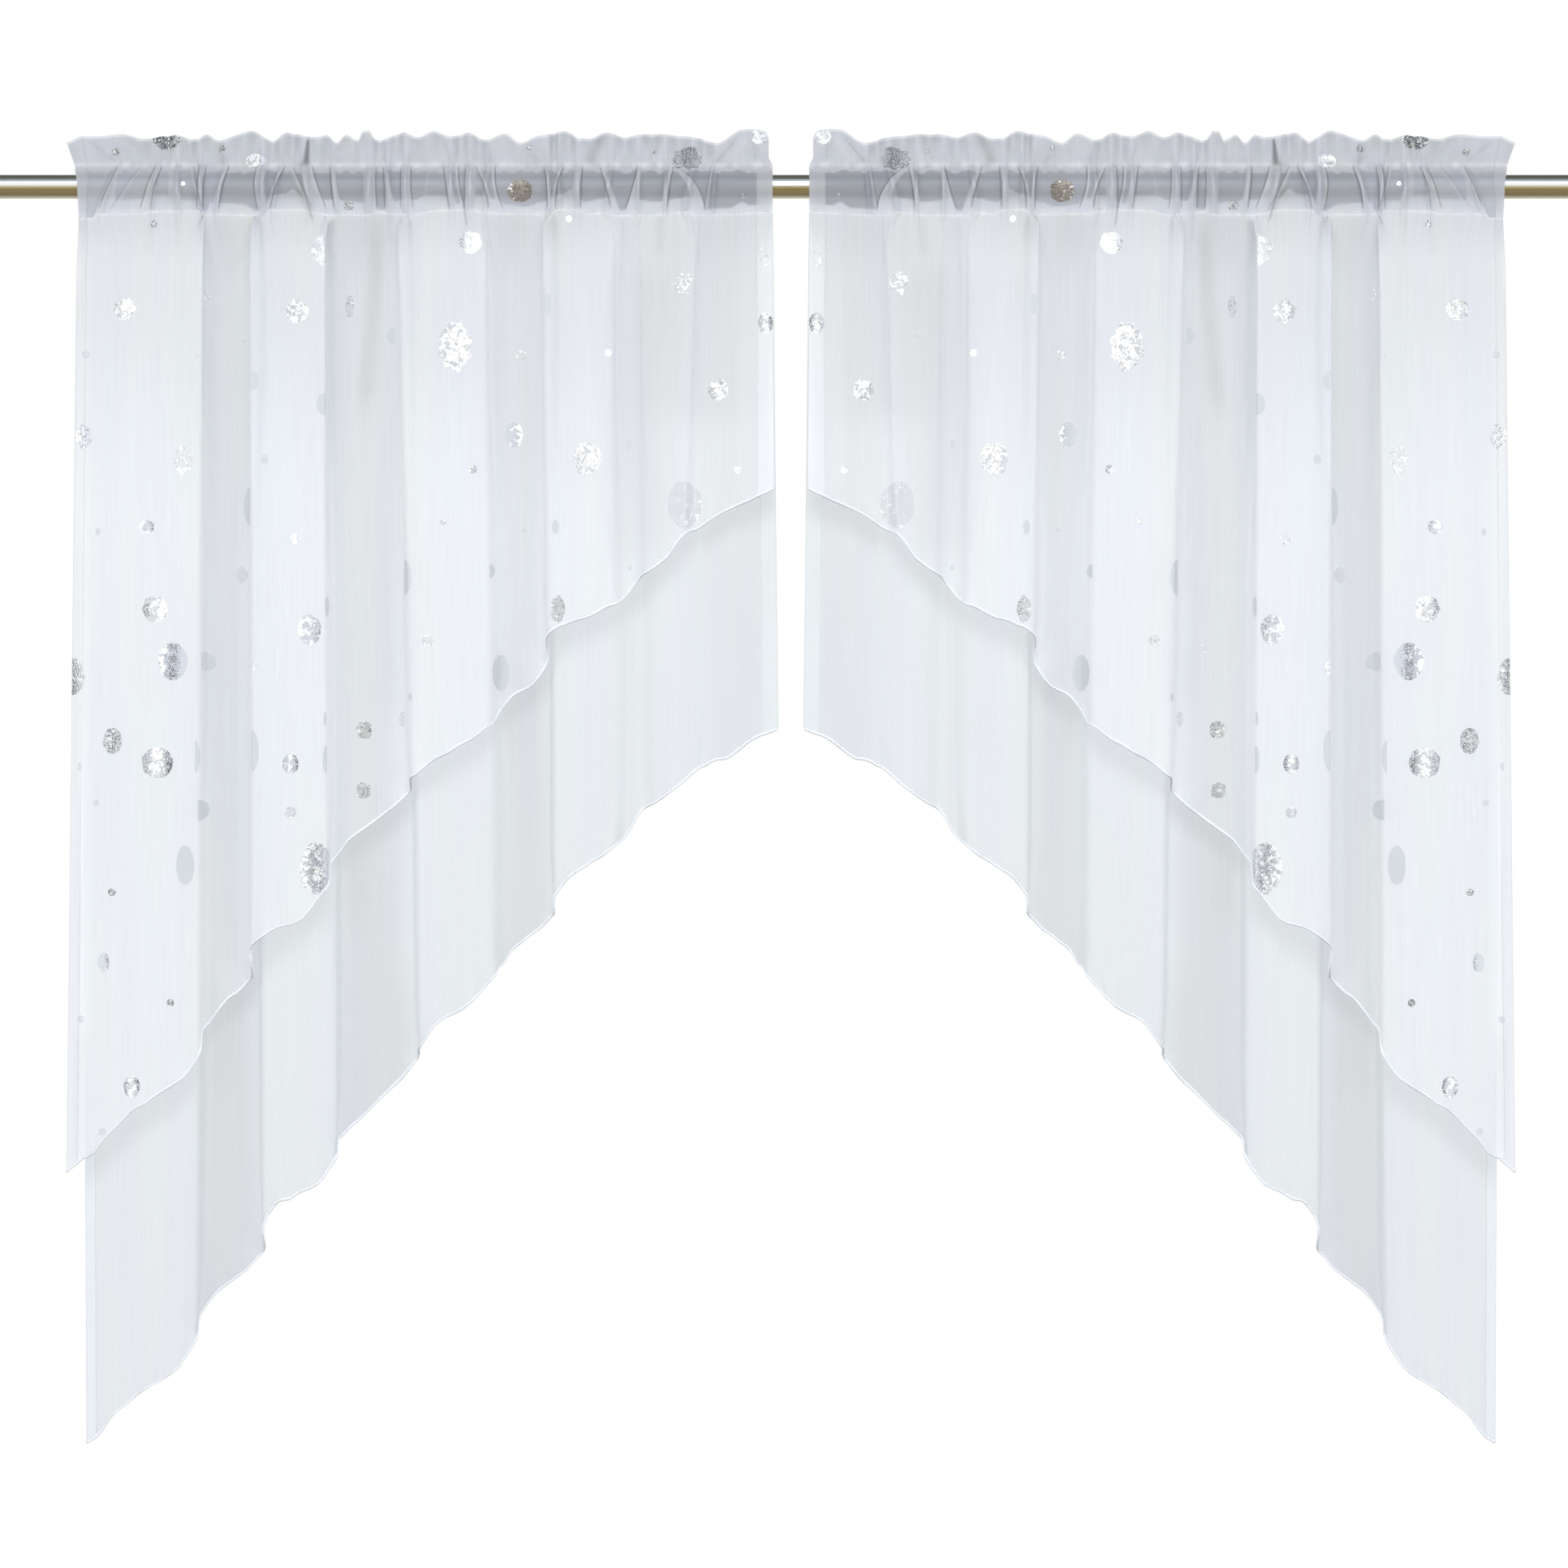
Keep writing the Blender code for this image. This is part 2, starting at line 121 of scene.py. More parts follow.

# Soft shades and lights painted on single creases and folds in the header, under the seam and down the
# hanging cloth, and on a few broad patches, in millimetres. half: half the width. shade: the share of the
# light that is
# left in the middle. spread: how many times wider the foot is.
Stroke = namedtuple("Stroke", "top_at top_height foot_at foot_height half shade spread", defaults=(1,))
STROKES = [Stroke(*row) for row in (
    (8, 39, 30, 20, 5, 0.93), (44, 42, 52, 26, 6, 0.95), (78, 44, 80, 16, 5, 1.05),
    (118, 27, 119, 17, 4.5, 0.9), (146, 38, 150, 20, 3, 0.95), (189, 42, 186.3, 15, 0.8, 0.45, 7),
    (178, 20, 188, 17, 5, 0.85), (212, 26, 216, 19, 6, 0.93), (226, 44, 229, 18, 2.5, 0.94),
    (255, 40, 250, 20, 2, 0.93), (275, 42, 272, 18, 5, 0.95), (300, 38, 307, 18, 1.5, 0.91),
    (311, 36, 311, 18, 1.5, 0.93), (335, 40, 339, 18, 2.5, 0.92), (371, 28, 379, 18, 6, 0.92),
    (428, 43, 419, 18, 7, 0.84), (440, 40, 440, 20, 4, 0.95), (471, 41, 470, 20, 1.8, 0.93),
    (479, 42, 479, 20, 4, 1.05), (500, 40, 494, 20, 6, 0.93), (542, 42, 522, 18, 1.2, 0.8),
    (549, 42, 534, 19, 7, 1.05), (247, -14, 233, -200, 11, 0.89), (186.5, -6, 193, -30, 1.3, 0.62),
    (316, -12, 319, -34, 1.6, 0.7), (331, -20, 334, -55, 2.6, 0.92), (254, -20, 256, -48, 3, 0.93),
    (447, -20, 446, -80, 3, 0.94), (478, -20, 476, -60, 6, 0.94), (510, -18, 509, -70, 1.6, 0.92),
    (60, -22, 58, -60, 5, 0.96), (80, -22, 82, -52, 2, 0.95), (150, -20, 147, -45, 2, 1.04),
    (104, -24, 104, -520, 6, 0.96), (204.5, -24, 205, -330, 3, 0.95), (462, -30, 462, -340, 44, 0.92),
    (505, -16, 510, -210, 80, 0.945), (4, -680, 4, -800, 9, 0.94), (262, -400, 266, -680, 24, 1.06),
)]

# Folds below the gathers in millimetres, from the outer side to the inner one. The solids have the same
# folds, but for a few millimetres at three of them.
# at: place across the curtain. drift: how far the cloth there leans to the inner side in a metre of drop.
# depth: how far back the cloth beyond the fold hangs. crown: how much further its middle stands.
# roll: how far the cloth doubles under itself there. soft: half the width of the turn.
Fold = namedtuple("Fold", "at drift depth crown roll soft")
FRONT_FOLDS = [Fold(*row) for row in (
    (0, -11, -11, -4, 0, 7), (100, -3, 9, 2, 8, 7), (145, 0, -12, -4, 9, 7), (200, 6, 7, 2, 8, 7),
    (264, 24, -10, -4, 7, 7), (335, 12, 6, 1, 5, 9), (384, 10, -11, -3, 8, 7), (440, 4, 0, 0, 4, 9),
    (461, 8, -7, -3, 3, 8), (508, -30, 0, 1, 5, 9), (556, 0, -4, 0, 0, 5),
)]
BACK_FOLDS = [Fold(*row) for row in (
    (0, 4.5, 15, -2, 0, 7), (100, -8, 31, 2, 8, 7), (148, 6, 15, -2, 9, 7), (206, 2, 29, 2, 8, 7),
    (272, 12, 14, -2, 7, 7), (337, 6, 28, 1, 6, 9), (391, 2, 15, -2, 8, 7), (446, -6, 23, 0, 4, 9),
    (470, -4, 17, -2, 4, 9), (508, 0, 22, 1, 5, 9),
)]

# How much higher each hem hangs than its straight cut, (across, lift) in millimetres
FRONT_WAVES = (
    (0, 0), (12, -1), (20, -5), (30, 0), (50, 3), (60, 0), (88, -5), (100, 2), (108, 1), (122, 3),
    (140, -2), (152, 6), (160, 2), (180, -6), (192, 1), (204, 7), (216, 11), (264, 11), (280, 8), (300, 4),
    (322, 0), (336, -3), (350, 2), (370, -3), (392, 15), (400, 10), (420, 4), (445, -3), (461, 3), (485, 0),
    (500, 7), (520, 4), (532, 5), (570, 0),
)
BACK_WAVES = (
    (0, 0), (8, -2), (24, 3), (40, 0), (84, -13), (100, -5), (112, 1), (142, 0), (150, 3), (158, 12),
    (172, 4), (192, -3), (204, 2), (212, 4), (222, 1), (250, 4), (269, 6), (276, 3), (288, 7), (312, 0),
    (337, 2), (346, 0), (350, 3), (362, 0), (386, -5), (404, 3), (420, 1), (436, -2), (452, -2), (463, 7),
    (485, 5), (508, 9), (518, 8), (530, 1), (550, 4), (570, 0),
)

# facing: -1 to the front of the rod, 1 behind it. hem_inner and hem_outer: the height of the slanted hem
# at the curtain's two sides. lift_inner and lift_outer: the pull of each half of the hem's cut above the
# straight line between them. inner_drift: the drift of the inner side, in millimetres. edge_drop: how much
# lower than the front panel the header's edge is cut. near and far: the depths in millimetres of the
# cloth that hangs nearest the front and furthest back. The two colours after them: the cloth's colours
# there, with painted shade, lighter nearest the front and darker in the recesses, and darker all over on
# the back panel. outer_shade and inner_shade: how light the doubled cloth of its side hems is.
Layer = namedtuple(
    "Layer",
    "name facing folds waves hem_inner hem_outer lift_inner lift_outer inner_drift edge_drop"
    " near far near_dye far_dye outer_shade inner_shade",
)
FRONT = Layer(
    "front", -1, FRONT_FOLDS, FRONT_WAVES, -247 * MM, -808 * MM, 36 * MM, 50 * MM, 6, 0,
    -12, 9, (0.955, 0.965, 0.98), (0.858, 0.868, 0.878), 0.95, 1.03,
)
BACK = Layer(
    "back", 1, BACK_FOLDS, BACK_WAVES, -444 * MM, -1033 * MM, 54 * MM, 8 * MM, 11, 2 * MM,
    15, 31, (0.705, 0.735, 0.755), (0.58, 0.605, 0.617), 1.12, 1.13,
)

# Height of the bottom seam above its plain line, (across, rise) in millimetres
SEAM_WAVER = (
    (0, -4.5), (17, -4.5), (21, -1), (56, -0.5), (60, 1.5), (98, 2), (101, -1), (148, -1.5), (158, 2.5),
    (183, 2.5), (192, 0), (203, -1.5), (238, -1.5), (246, 0.5), (262, -1), (276, -1.5), (290, 2),
    (312, 2.5), (330, 2), (346, -0.5), (384, -1), (396, 3), (410, 2.5), (418, -1), (436, 0.5), (442, -2),
    (478, -1.5), (496, 0.5), (506, 0.5), (510, -2), (540, -1), (556, 0.5), (570, 0),
)
# Where the cloth that lies on the rod ends below, (across, height) in millimetres
BAND_FOOT = (
    (0, -22), (17, -22), (22, -12), (56, -11), (60, -9), (76, -9), (79, -5), (83, -6), (86, -14), (99, -14),
    (101, -20), (105, -19), (110, -13), (136, -14), (148, -19), (154, -17), (158, -11), (170, -8),
    (177, -4), (184, -12), (190, -13), (197, -3), (201, -11), (213, -11), (218, -12), (236, -13),
    (243, -13), (246, -20), (254, -19), (258, -12), (268, -11), (276, -11), (284, -9), (306, -10),
    (311, -17), (316, -16), (321, -8), (326, -9), (345, -11), (352, -15), (368, -16), (380, -13),
    (388, -11), (396, -9), (406, -4), (411, -12), (414, -13), (430, -11), (438, -11), (441, -19),
    (449, -18), (455, -11), (478, -12), (492, -11), (503, -10), (509, -19), (515, -18), (522, -17),
    (536, -17), (545, -13), (552, -16), (570, -15),
)
# How light the painted shade of the cloth on the rod is, (across, tone)
BAND_TONE = (
    (0, 1.12), (20, 1.2), (60, 1.2), (108, 1.14), (128, 1), (240, 1.02), (315, 1.12), (400, 1.03),
    (450, 0.95), (570, 0.93),
)

# Rows and columns of the sheets: fine ones down to the folds, and wider ones below. The steps across are in
# millimetres. ROW_CROWDING: how much closer together the rows are near the seam. LEAST_RUN: the least run
# between two points of a hem, so that no division is by zero. LEAST_CROSS: below it a tube runs to the back.
LEAST_RUN = 0.01 * MM
LEAST_CROSS = 0.05
FINE_COLUMN = {"front": 0.72, "back": 1.15}
COLUMN_STEP = 4.2
FOLD_STEPS = (-2.0, -1.6, -1.2, -0.9, -0.6, -0.3, 0.0, 0.3, 0.6, 0.9, 1.2, 1.6, 2.0)
LEAST_COLUMN = 0.5
LENGTH_STEPS = 1200
HEADER_ROWS = 14
POCKET_ROWS = 28
GATHER_ROWS = 18
ROW_CROWDING = 1.3
BODY_ROW = 8 * MM
HEM_ROWS = 8
HEM_REACH = 24 * MM

# Unevenness of the cloth and of its colour, in smooth patches of a width and height. seed tells them apart.
# CRINKLE_RATE: how much sooner than the header's edge its crinkles are full.
Patches = namedtuple("Patches", "strength wide tall seed")
CRINKLES = Patches(0.5 * MM, 9 * MM, 14.4 * MM, 7.3)
CRINKLE_RATE = 1.5
WRINKLES = Patches(0.9 * MM, 38 * MM, 228 * MM, 7.3)
HEM_RIPPLE = 1.6 * MM
HEM_RIPPLE_LENGTH = 31 * MM
RIPPLE_STRAY = Patches(2.5, 90 * MM, 90 * MM, 7.3)
HUES = Patches(0.9, 24 * MM, 260 * MM, 5.2)
WARM_CLOUDS = Patches(1.1, 110 * MM, 160 * MM, 3.1)
VALLEYS = Patches(1.1, 13 * MM, 17 * MM, 8.8)
GRAIN = Patches(0.06, 30 * MM, 1.2 * MM, 4.4)

# Side hems, seams and stitches. The first three are millimetres across, as in the tables. ROLL: the rolled
# hem, as a tube that is unevenly thick and wobbles from step to step. STITCH_BOW: how far each point of a
# stitch stands off the cloth, in shares of STITCH_LIFT.
OUTER_HEM = 8
INNER_HEM = 13
OVERHANG_EDGE = 0.5
RIM = 1.0 * MM
ROLL_RADIUS = 1.15 * MM
ROLL_UNEVENNESS = 0.45
ROLL_LENGTH = 24 * MM
ROLL_SEED = 1.7
ROLL_SIDES = 8
ROLL_STEP = 1.3 * MM
ROLL_WOBBLE = 0.12 * MM
ROLL_TURN = 1.9
STITCH = 2.4 * MM
STITCH_GAP = 0.9 * MM
STITCH_LIFT = 0.39 * MM
STITCH_BOW = (0.3, 1.0, 1.0, 0.3)
STITCH_SIDES = 4
THREAD_RADIUS = 0.14 * MM

# The density of one layer of voile, from clear at 0 to solid at 1
BODY_DENSITY = 0.78
HEADER_DENSITY = 0.86
POCKET_DENSITY = 0.92
HEM_POCKET_DENSITY = 0.97
HEM_DENSITY = 0.93
SEAM_DENSITY = 0.86

# Colours of the cloth: the header's crests and valleys, darker than the hanging cloth partly by painted
# shade, and the valleys darker where the ruffle goes back, by painted shade; the cloth on the rod, painted
# shade; the pocket's open cloth; the seams' painted highlight. Then the tints of its bands and clouds
CREST_DYE_AND_SHADE = (0.705, 0.71, 0.75)
VALLEY_DYE_AND_SHADE = (0.62, 0.64, 0.65)
BAND_SHADE = (0.50, 0.515, 0.56)
OPEN_DYE = (0.835, 0.853, 0.91)
SEAM_HIGHLIGHT = (0.98, 0.98, 0.98)
LAVENDER_TINT = (0.975, 0.978, 1.01)
GREEN_TINT = (0.99, 1.0, 0.985)
WARM_TINT = (0.995, 0.99, 0.975)
WARM_SHARE = 0.6
WARM_FROM = 0.1
BRIGHTEST = 0.98

# Shades and lights of the hanging cloth, painted into its colour, and its darker rim. TOP: painted shade
# near the seam, on the nearest and the furthest cloth; UNDER_SEAM: painted shade just under the seam. TURN:
# painted light on cloth that turns away, and what is left of it lower down. EDGE: painted light inside a
# recess beside a fold, with its reach in millimetres and how far from the fold it starts on the fold's inner
# and outer side.
# RIM: at the sides' edges. OVERHANG: painted shade where the front panel hangs alone. HEM and SHADOW: a
# painted shadow under the front hem.
TOP_SHADE = 0.90
FAR_TOP_SHADE = 0.985
TOP_SHADE_DROP = 260 * MM
UNDER_SEAM_SHADE = 0.08
UNDER_SEAM_DROP = 45 * MM
TURN_LIGHT = 0.20
TURN_LIGHT_LOW = 0.15
EDGE_LIGHT = {"front": 0.09, "back": 0.12}
EDGE_LIGHT_TOP = 0.4
EDGE_REACH = 12
EDGE_REACH_TOP = 1.4
EDGE_REACH_DROP = 150 * MM
EDGE_FROM_INNER = 1
EDGE_FROM_OUTER = 5
DEEP_FOLD = 16
RIM_SHADE = 0.16
OVERHANG_SHADE = 0.94
HEM_SHADOW = 0.035
SHADOW_DROP = 5
SHADOW_REACH = 15
STROKE_FADE = 0.2

# How the folds open below the gathers: their turns grow SOFT_WIDTH times as wide, and OPENED of their
# doubling is lost, save for what the hem holds
SOFT_FROM = 100 * MM
SOFT_OVER = 220 * MM
SOFT_WIDTH = 2.4
OPENED = 0.68
HEM_HOLD = 60 * MM
HEM_HELD = 0.35
EDGE_HELD = 0.8

# The cloth that lies on the rod, which gets painted shade where it lies against the dark rod: where it ends
# at the top, how soft its ends are, how much of its shade each layer and a side hem show, and how much
# lighter
# its foot is. OPEN_RATE: how soon the free cloth above its foot turns to the header's colour. RUFFLE_TONE:
# the ruffle's depth that takes the header's valleys to their full painted shade.
BAND_HEAD = 14.6 * MM
BAND_HEAD_PUCKER = 3.6 * MM
BAND_EDGE = 1.4 * MM
BAND_SHOWN = {"front": 1.0, "back": 0.5}
BAND_IN_HEM = 0.3
BAND_LOW_LIGHT = 0.14
OPEN_RATE = 1.5
RUFFLE_TONE = 9.6 * MM

# Painted highlights on the puckers along the seams: the length of one, and how far it reaches. COVERED: how
# much of those at the bottom seam the cloth on the rod hides. LINE: the seam's own pale line, a painted
# highlight, from its least to its most.
PUCKER_LIGHT = 0.62
PUCKER_SEED = 2.7
PUCKER_STRENGTH = 0.9
TOP_PUCKER = 7 * MM
TOP_PUCKER_REACH = 3.4 * MM
HEADER_PUCKER_SHARE = 0.2
BOTTOM_PUCKER = 11 * MM
BOTTOM_PUCKER_REACH = 5 * MM
COVERED = 0.8
LINE_PUCKER = 6 * MM
LINE_REACH = 3.08 * MM
LINE_LEAST = 0.12
LINE_MOST = 0.90

# The pleats' looks, in millimetres. TOP and FOOT: the heights that their table's places are for. REACH: how
# far to the side a pleat can show. PALE_EDGE: how soft its sides are. A painted crease shade lies just
# outside a side and a painted highlight just inside it, each with its distance and half its width. Both fade
# out at the pleat's ends, and END is where they stop below, in shares of the height from TOP to FOOT.
PLEAT_TOP = 15
PLEAT_FOOT = -11
PLEAT_REACH = 16
PALE_EDGE = 0.9
CREASE_OUT = 0.7
CREASE_HALF = 1.1
LIGHT_IN = 0.5
LIGHT_HALF = 0.8
PLEAT_FADE_TOP = 0.15
PLEAT_FADE_FOOT = 0.2
PLEAT_END = 1.33
PLEAT_SHADE = 0.42
PLEAT_LIGHT = 0.45

# Flat sizes of the cut pieces of cloth, from the length round the folds and the hem's allowance
SIDE_ALLOWANCE = 32 * MM
END_ALLOWANCE = 12 * MM

# The camera and its picture, which takes in 1.288 m at the rod
CAMERA_LENS = 135
CAMERA_SENSOR = 36
PICTURE_WIDTH = 1.288
PICTURE_CENTRE = (-0.0057, -0.4903)


# Curves

def ease(share):
    """0 up to 1, level at both ends."""
    share = min(max(share, 0.0), 1.0)
    return share * share * (3 - 2 * share)


def bump(place):
    """1 at 0, falling to 0 at -1 and 1."""
    return (1 - place * place) ** 2 if abs(place) < 1 else 0.0


def swing(place):
    """The sideways course of a doubled fold: about -1 before its middle, 1 after it, and 0 past two."""
    return 1.75 * place * (1 - (place / 2) ** 2) ** 2 if abs(place) < 2 else 0.0


def between(first, second, share):
    return first + (second - first) * share


def blended(first, second, share):
    return tuple(between(a, b, share) for a, b in zip(first, second))


def waved(stations, place):
    """The value at a place, on smooth half waves through (place, value) stations."""
    before = stations[0]
    for after in stations:
        if after[0] >= place:
            span = after[0] - before[0]
            share = (place - before[0]) / span if span > 0 else 1.0
            return between(before[1], after[1], ease(share))
        before = after
    return stations[-1][1]


def patchy(patches, across, height, facing=0):
    """Smooth unevenness of a strength, in patches of a size."""
    place = Vector((across / patches.wide, height / patches.tall, patches.seed + facing))
    return patches.strength * noise.noise(place)


def ruffle_stations():
    """How far the header's edge waves to the front over gathers and to the back between them."""
    ends = [0.0] + [gather.at for gather in GATHERS] + [WIDTH_MM]
    full = FULL_RUFFLE_SPAN / MM
    stations = [(0.0, 0.0)]
    for before, gather, following in zip(ends, GATHERS, ends[2:]):
        stations.append((gather.at, -RUFFLE_FRONT * min(1.0, (following - before) / 2 / full)))
        gap = following - gather.at
        stations.append((gather.at + gap / 2, RUFFLE_BACK * min(1.0, gap / full)))
    return stations + [(WIDTH_MM, -RUFFLE_FRONT / 2)]


RUFFLE = ruffle_stations()
SLANT = [(0.0, 0.0)] + [(gather.at, gather.slant) for gather in GATHERS] + [(WIDTH_MM, 0.0)]


def fold_depth(folds, across, width=1.0):
    """How far back the folds set the cloth there, in millimetres, with turns that many times as wide."""
    depth = folds[0].depth
    for before, fold in zip(folds, folds[1:]):
        turn = (across - fold.at) / (width * fold.soft)
        depth += (fold.depth - before.depth) * ease((turn + 1) / 2)
    return depth


def fold_course(folds, across):
    """How the folds move the cloth there: sideways, to the back, and further back by its crowns."""
    side = -sum(fold.roll * swing((across - fold.at) / fold.soft) for fold in folds[1:])
    crown = 0.0
    for fold, end in zip(folds, [fold.at for fold in folds[1:]] + [WIDTH_MM]):
        crown += fold.crown * bump((2 * across - fold.at - end) / (end - fold.at))
    return side * MM, fold_depth(folds, across) * MM, crown * MM


def fold_edge(folds, across):
    """How far the place is inside the recess beyond the nearest fold, and how deep that fold is."""
    before, fold = min(zip(folds, folds[1:]), key=lambda pair: abs(across - pair[1].at))
    step = fold.depth - before.depth
    inside = across - fold.at - EDGE_FROM_INNER if step > 0 else fold.at - across - EDGE_FROM_OUTER
    return inside, min(abs(step) / DEEP_FOLD, 1.0)


def edge_stations(folds):
    """How far the edge of each fold would draw back if the fold opened."""
    stations = [(0.0, 0.0)]
    for before, fold in zip(folds, folds[1:]):
        stations.append((fold.at, fold.roll if fold.depth > before.depth else -fold.roll))
    return stations + [(WIDTH_MM, 0.0)]


def roundness(height):
    """The cloth's depth over the rod: straight from each seam to the rod, and round it between."""
    reach = ROD_DIAMETER / 2 + ROD_CLEARANCE + SHEET_CLEARANCE
    for seam in (TOP_SEAM, BOTTOM_SEAM):
        touch = reach * reach / seam
        if abs(height) >= abs(touch) and height * seam > 0:
            return math.sqrt(reach * reach - touch * touch) * (seam - height) / (seam - touch)
    return math.sqrt(reach * reach - height * height)


# Columns of cloth: everything that depends only on the place across, which is at.
# ridge: how far the gather there stands off. slant: how far the pocket's top leans to the inner side. lean:
# how far the cloth drifts that way in a metre of drop. edge and ruffle: the height and the depth of the
# header's edge. side, depth and crown: the course of the folds. hold: how far their edges would draw back.
# gentle: their depth with wide turns. turned: how far the cloth faces sideways, from 0 to 1. inside and
# deep: how far inside the nearest recess the place is, and how deep that fold is. length: the cloth's own
# length up to there. waver: the bottom seam's rise. foot: where the cloth that lies on the rod ends below.
# pleats: those nearby.
Column = namedtuple(
    "Column",
    "at ridge slant lean edge ruffle side hold depth gentle crown turned inside deep length waver foot"
    " pleats",
)


def read_column(layer, lengths, across):
    folds = layer.folds
    drifts = [(fold.at, fold.drift) for fold in folds] + [(WIDTH_MM, layer.inner_drift)]
    slant = waved(SLANT, across)
    side, depth, crown = fold_course(folds, across)
    before = fold_course(folds, across - 0.5)
    after = fold_course(folds, across + 0.5)
    run = Vector((MM + after[0] - before[0], after[1] + after[2] - before[1] - before[2]))
    inside, deep = fold_edge(folds, across)
    step = across / WIDTH_MM * LENGTH_STEPS
    low = min(int(step), LENGTH_STEPS - 1)
    return Column(
        at=across * MM,
        ridge=max(gather.height * bump((across - gather.at) / gather.half) for gather in GATHERS) * MM,
        slant=slant * MM,
        lean=waved(drifts, across) * MM,
        edge=waved(HEADER_EDGE, across + slant / 2) * MM,
        ruffle=waved(RUFFLE, across),
        side=side,
        hold=waved(edge_stations(folds), across) * MM,
        depth=depth,
        gentle=fold_depth(folds, across, SOFT_WIDTH) * MM,
        crown=crown,
        turned=1 - abs(run.x) / run.length,
        inside=inside,
        deep=deep,
        length=between(lengths[low], lengths[low + 1], step - low),
        waver=waved(SEAM_WAVER, across) * MM,
        foot=waved(BAND_FOOT, across) * MM,
        pleats=[
            pleat for pleat in PLEATS
            if min(pleat[:2]) - PLEAT_REACH < across < max(pleat[:2]) + PLEAT_REACH
        ],
    )


def cloth_lengths(layer):
    """The cloth's own length from the outer side to each of many even places, round all its folds."""
    points = []
    for step in range(LENGTH_STEPS + 1):
        place = WIDTH_MM * step / LENGTH_STEPS
        side, depth, crown = fold_course(layer.folds, place)
        points.append(Vector((place * MM + side, depth + crown)))
    lengths = [0.0]
    for before, after in zip(points, points[1:]):
        lengths.append(lengths[-1] + (after - before).length)
    return lengths


def hem_drop(layer, lengths, column):
    """The drop of the hem there: a slanted, slightly bowed cut in the flat cloth, with its waves."""
    share = column.length / lengths[-1]
    lift = 3 * share * (1 - share) * between(layer.lift_outer, layer.lift_inner, share)
    lift += waved(layer.waves, column.at / MM) * MM
    return BOTTOM_SEAM - between(layer.hem_outer, layer.hem_inner, share) - lift


def hem_shade(layer, column):
    """How light the doubled cloth of the side hems is, or None between them."""
    place = column.at / MM
    if place < OUTER_HEM:
        return layer.outer_shade
    return layer.inner_shade if WIDTH_MM - place < INNER_HEM else None


# Points of the sheets, each in the curtain's own frame

def corner_flare(column):
    """How far the header's outer corner leans outwards at its top."""
    return OUTER_FLARE * max(0.0, 1 - column.at / CORNER_REACH)


def header_point(layer, column, share):
    full_rise = column.edge - TOP_SEAM
    rise = (full_rise - layer.edge_drop) * share
    open_share = rise / full_rise
    flare = corner_flare(column) * between(SEAM_FLARE, 1, open_share)
    near_inner = max(0.0, 1 - (CURTAIN_WIDTH - column.at) / CORNER_REACH)
    tuck = INNER_TUCK * near_inner * ease(TUCK_RATE * open_share)
    wave = column.ruffle * open_share - SEAM_SHARE * column.ridge * (1 - open_share) ** 2
    wave += patchy(CRINKLES, column.length, rise) * math.sin(math.pi / 2 * min(CRINKLE_RATE * share, 1.0))
    depth = wave + layer.facing * SEAM_CLEARANCE / 2
    return Vector((column.at + column.slant / 2 - flare - tuck, depth, TOP_SEAM + rise))


def pocket_point(layer, column, height):
    share = (height - BOTTOM_SEAM) / (TOP_SEAM - BOTTOM_SEAM)
    side = column.slant * (share - 0.5) - corner_flare(column) * SEAM_FLARE * ease(height / TOP_SEAM)
    middle = math.sin(math.pi * share) ** RIDGE_POWER if 0 < share < 1 else 0.0
    depth = roundness(height) + column.ridge * between(SEAM_SHARE, 1, middle) + SEAM_CLEARANCE / 2
    lift = column.waver * (1 - ease(WAVER_RATE * share))
    return Vector((column.at + side, layer.facing * depth, height + lift))


def opening(drop):
    """How far the folds have opened at a drop, from 0 to 1."""
    return ease((drop - SOFT_FROM) / SOFT_OVER)


def body_point(layer, column, drop, hem):
    open_share = ease(drop / FOLD_DROP)
    gather_share = 1 - ease(drop / GATHER_DROP)
    held = HEM_HELD * (1 - ease((hem - drop) / HEM_HOLD))
    doubled = 1 - OPENED * opening(drop) * (1 - held)
    folded = column.side * ease(drop / SPREAD_DROP) * doubled + EDGE_HELD * column.hold * (1 - doubled)
    sideways = column.at - column.slant / 2 * gather_share + folded + column.lean * drop
    fullness = TOP_FULLNESS + FULLNESS_GAIN * drop
    depth = layer.facing * SEAM_CLEARANCE / 2 - SEAM_SHARE * column.ridge * gather_share
    depth += (column.depth + fullness * column.crown + patchy(WRINKLES, column.length, drop)) * open_share
    stray = patchy(RIPPLE_STRAY, column.length, 0.0)
    ripple = math.sin(2 * math.pi * column.length / HEM_RIPPLE_LENGTH + stray)
    depth += HEM_RIPPLE * ripple * ease(1 - (hem - drop) / HEM_REACH)
    return Vector((sideways, depth, BOTTOM_SEAM - drop + column.waver * gather_share))


# Finishes of the sheets: the dye with its painted shades and highlights, and the density at each point

def forwardness(layer, column, drop):
    """1 where the cloth hangs nearest the front and 0 where it hangs furthest back, softer lower down."""
    soft = opening(drop) if layer is FRONT else 1.0
    depth = between(column.depth, column.gentle, soft) / MM
    return min(max((layer.far - depth) / (layer.far - layer.near), 0.0), 1.0)


def tinted(dye, layer, column, height):
    """The dye, painted shades and all, with faint upright bands of lavender and green, and warm clouds."""
    band = blended(GREEN_TINT, LAVENDER_TINT, ease(0.5 + patchy(HUES, column.at, height, layer.facing)))
    cloud = ease(WARM_FROM + patchy(WARM_CLOUDS, column.at, height, layer.facing))
    tint = blended(band, WARM_TINT, WARM_SHARE * cloud)
    return tuple(part * share for part, share in zip(dye, tint))


def shaded(dye, factor):
    return tuple(min(part * factor, BRIGHTEST) for part in dye)


def puckering(column, length):
    """0 to 1, uneven along a seam."""
    uneven = noise.noise(Vector((column.at / length, PUCKER_SEED, 0.0)))
    return min(max(0.5 + PUCKER_STRENGTH * uneven, 0.0), 1.0)


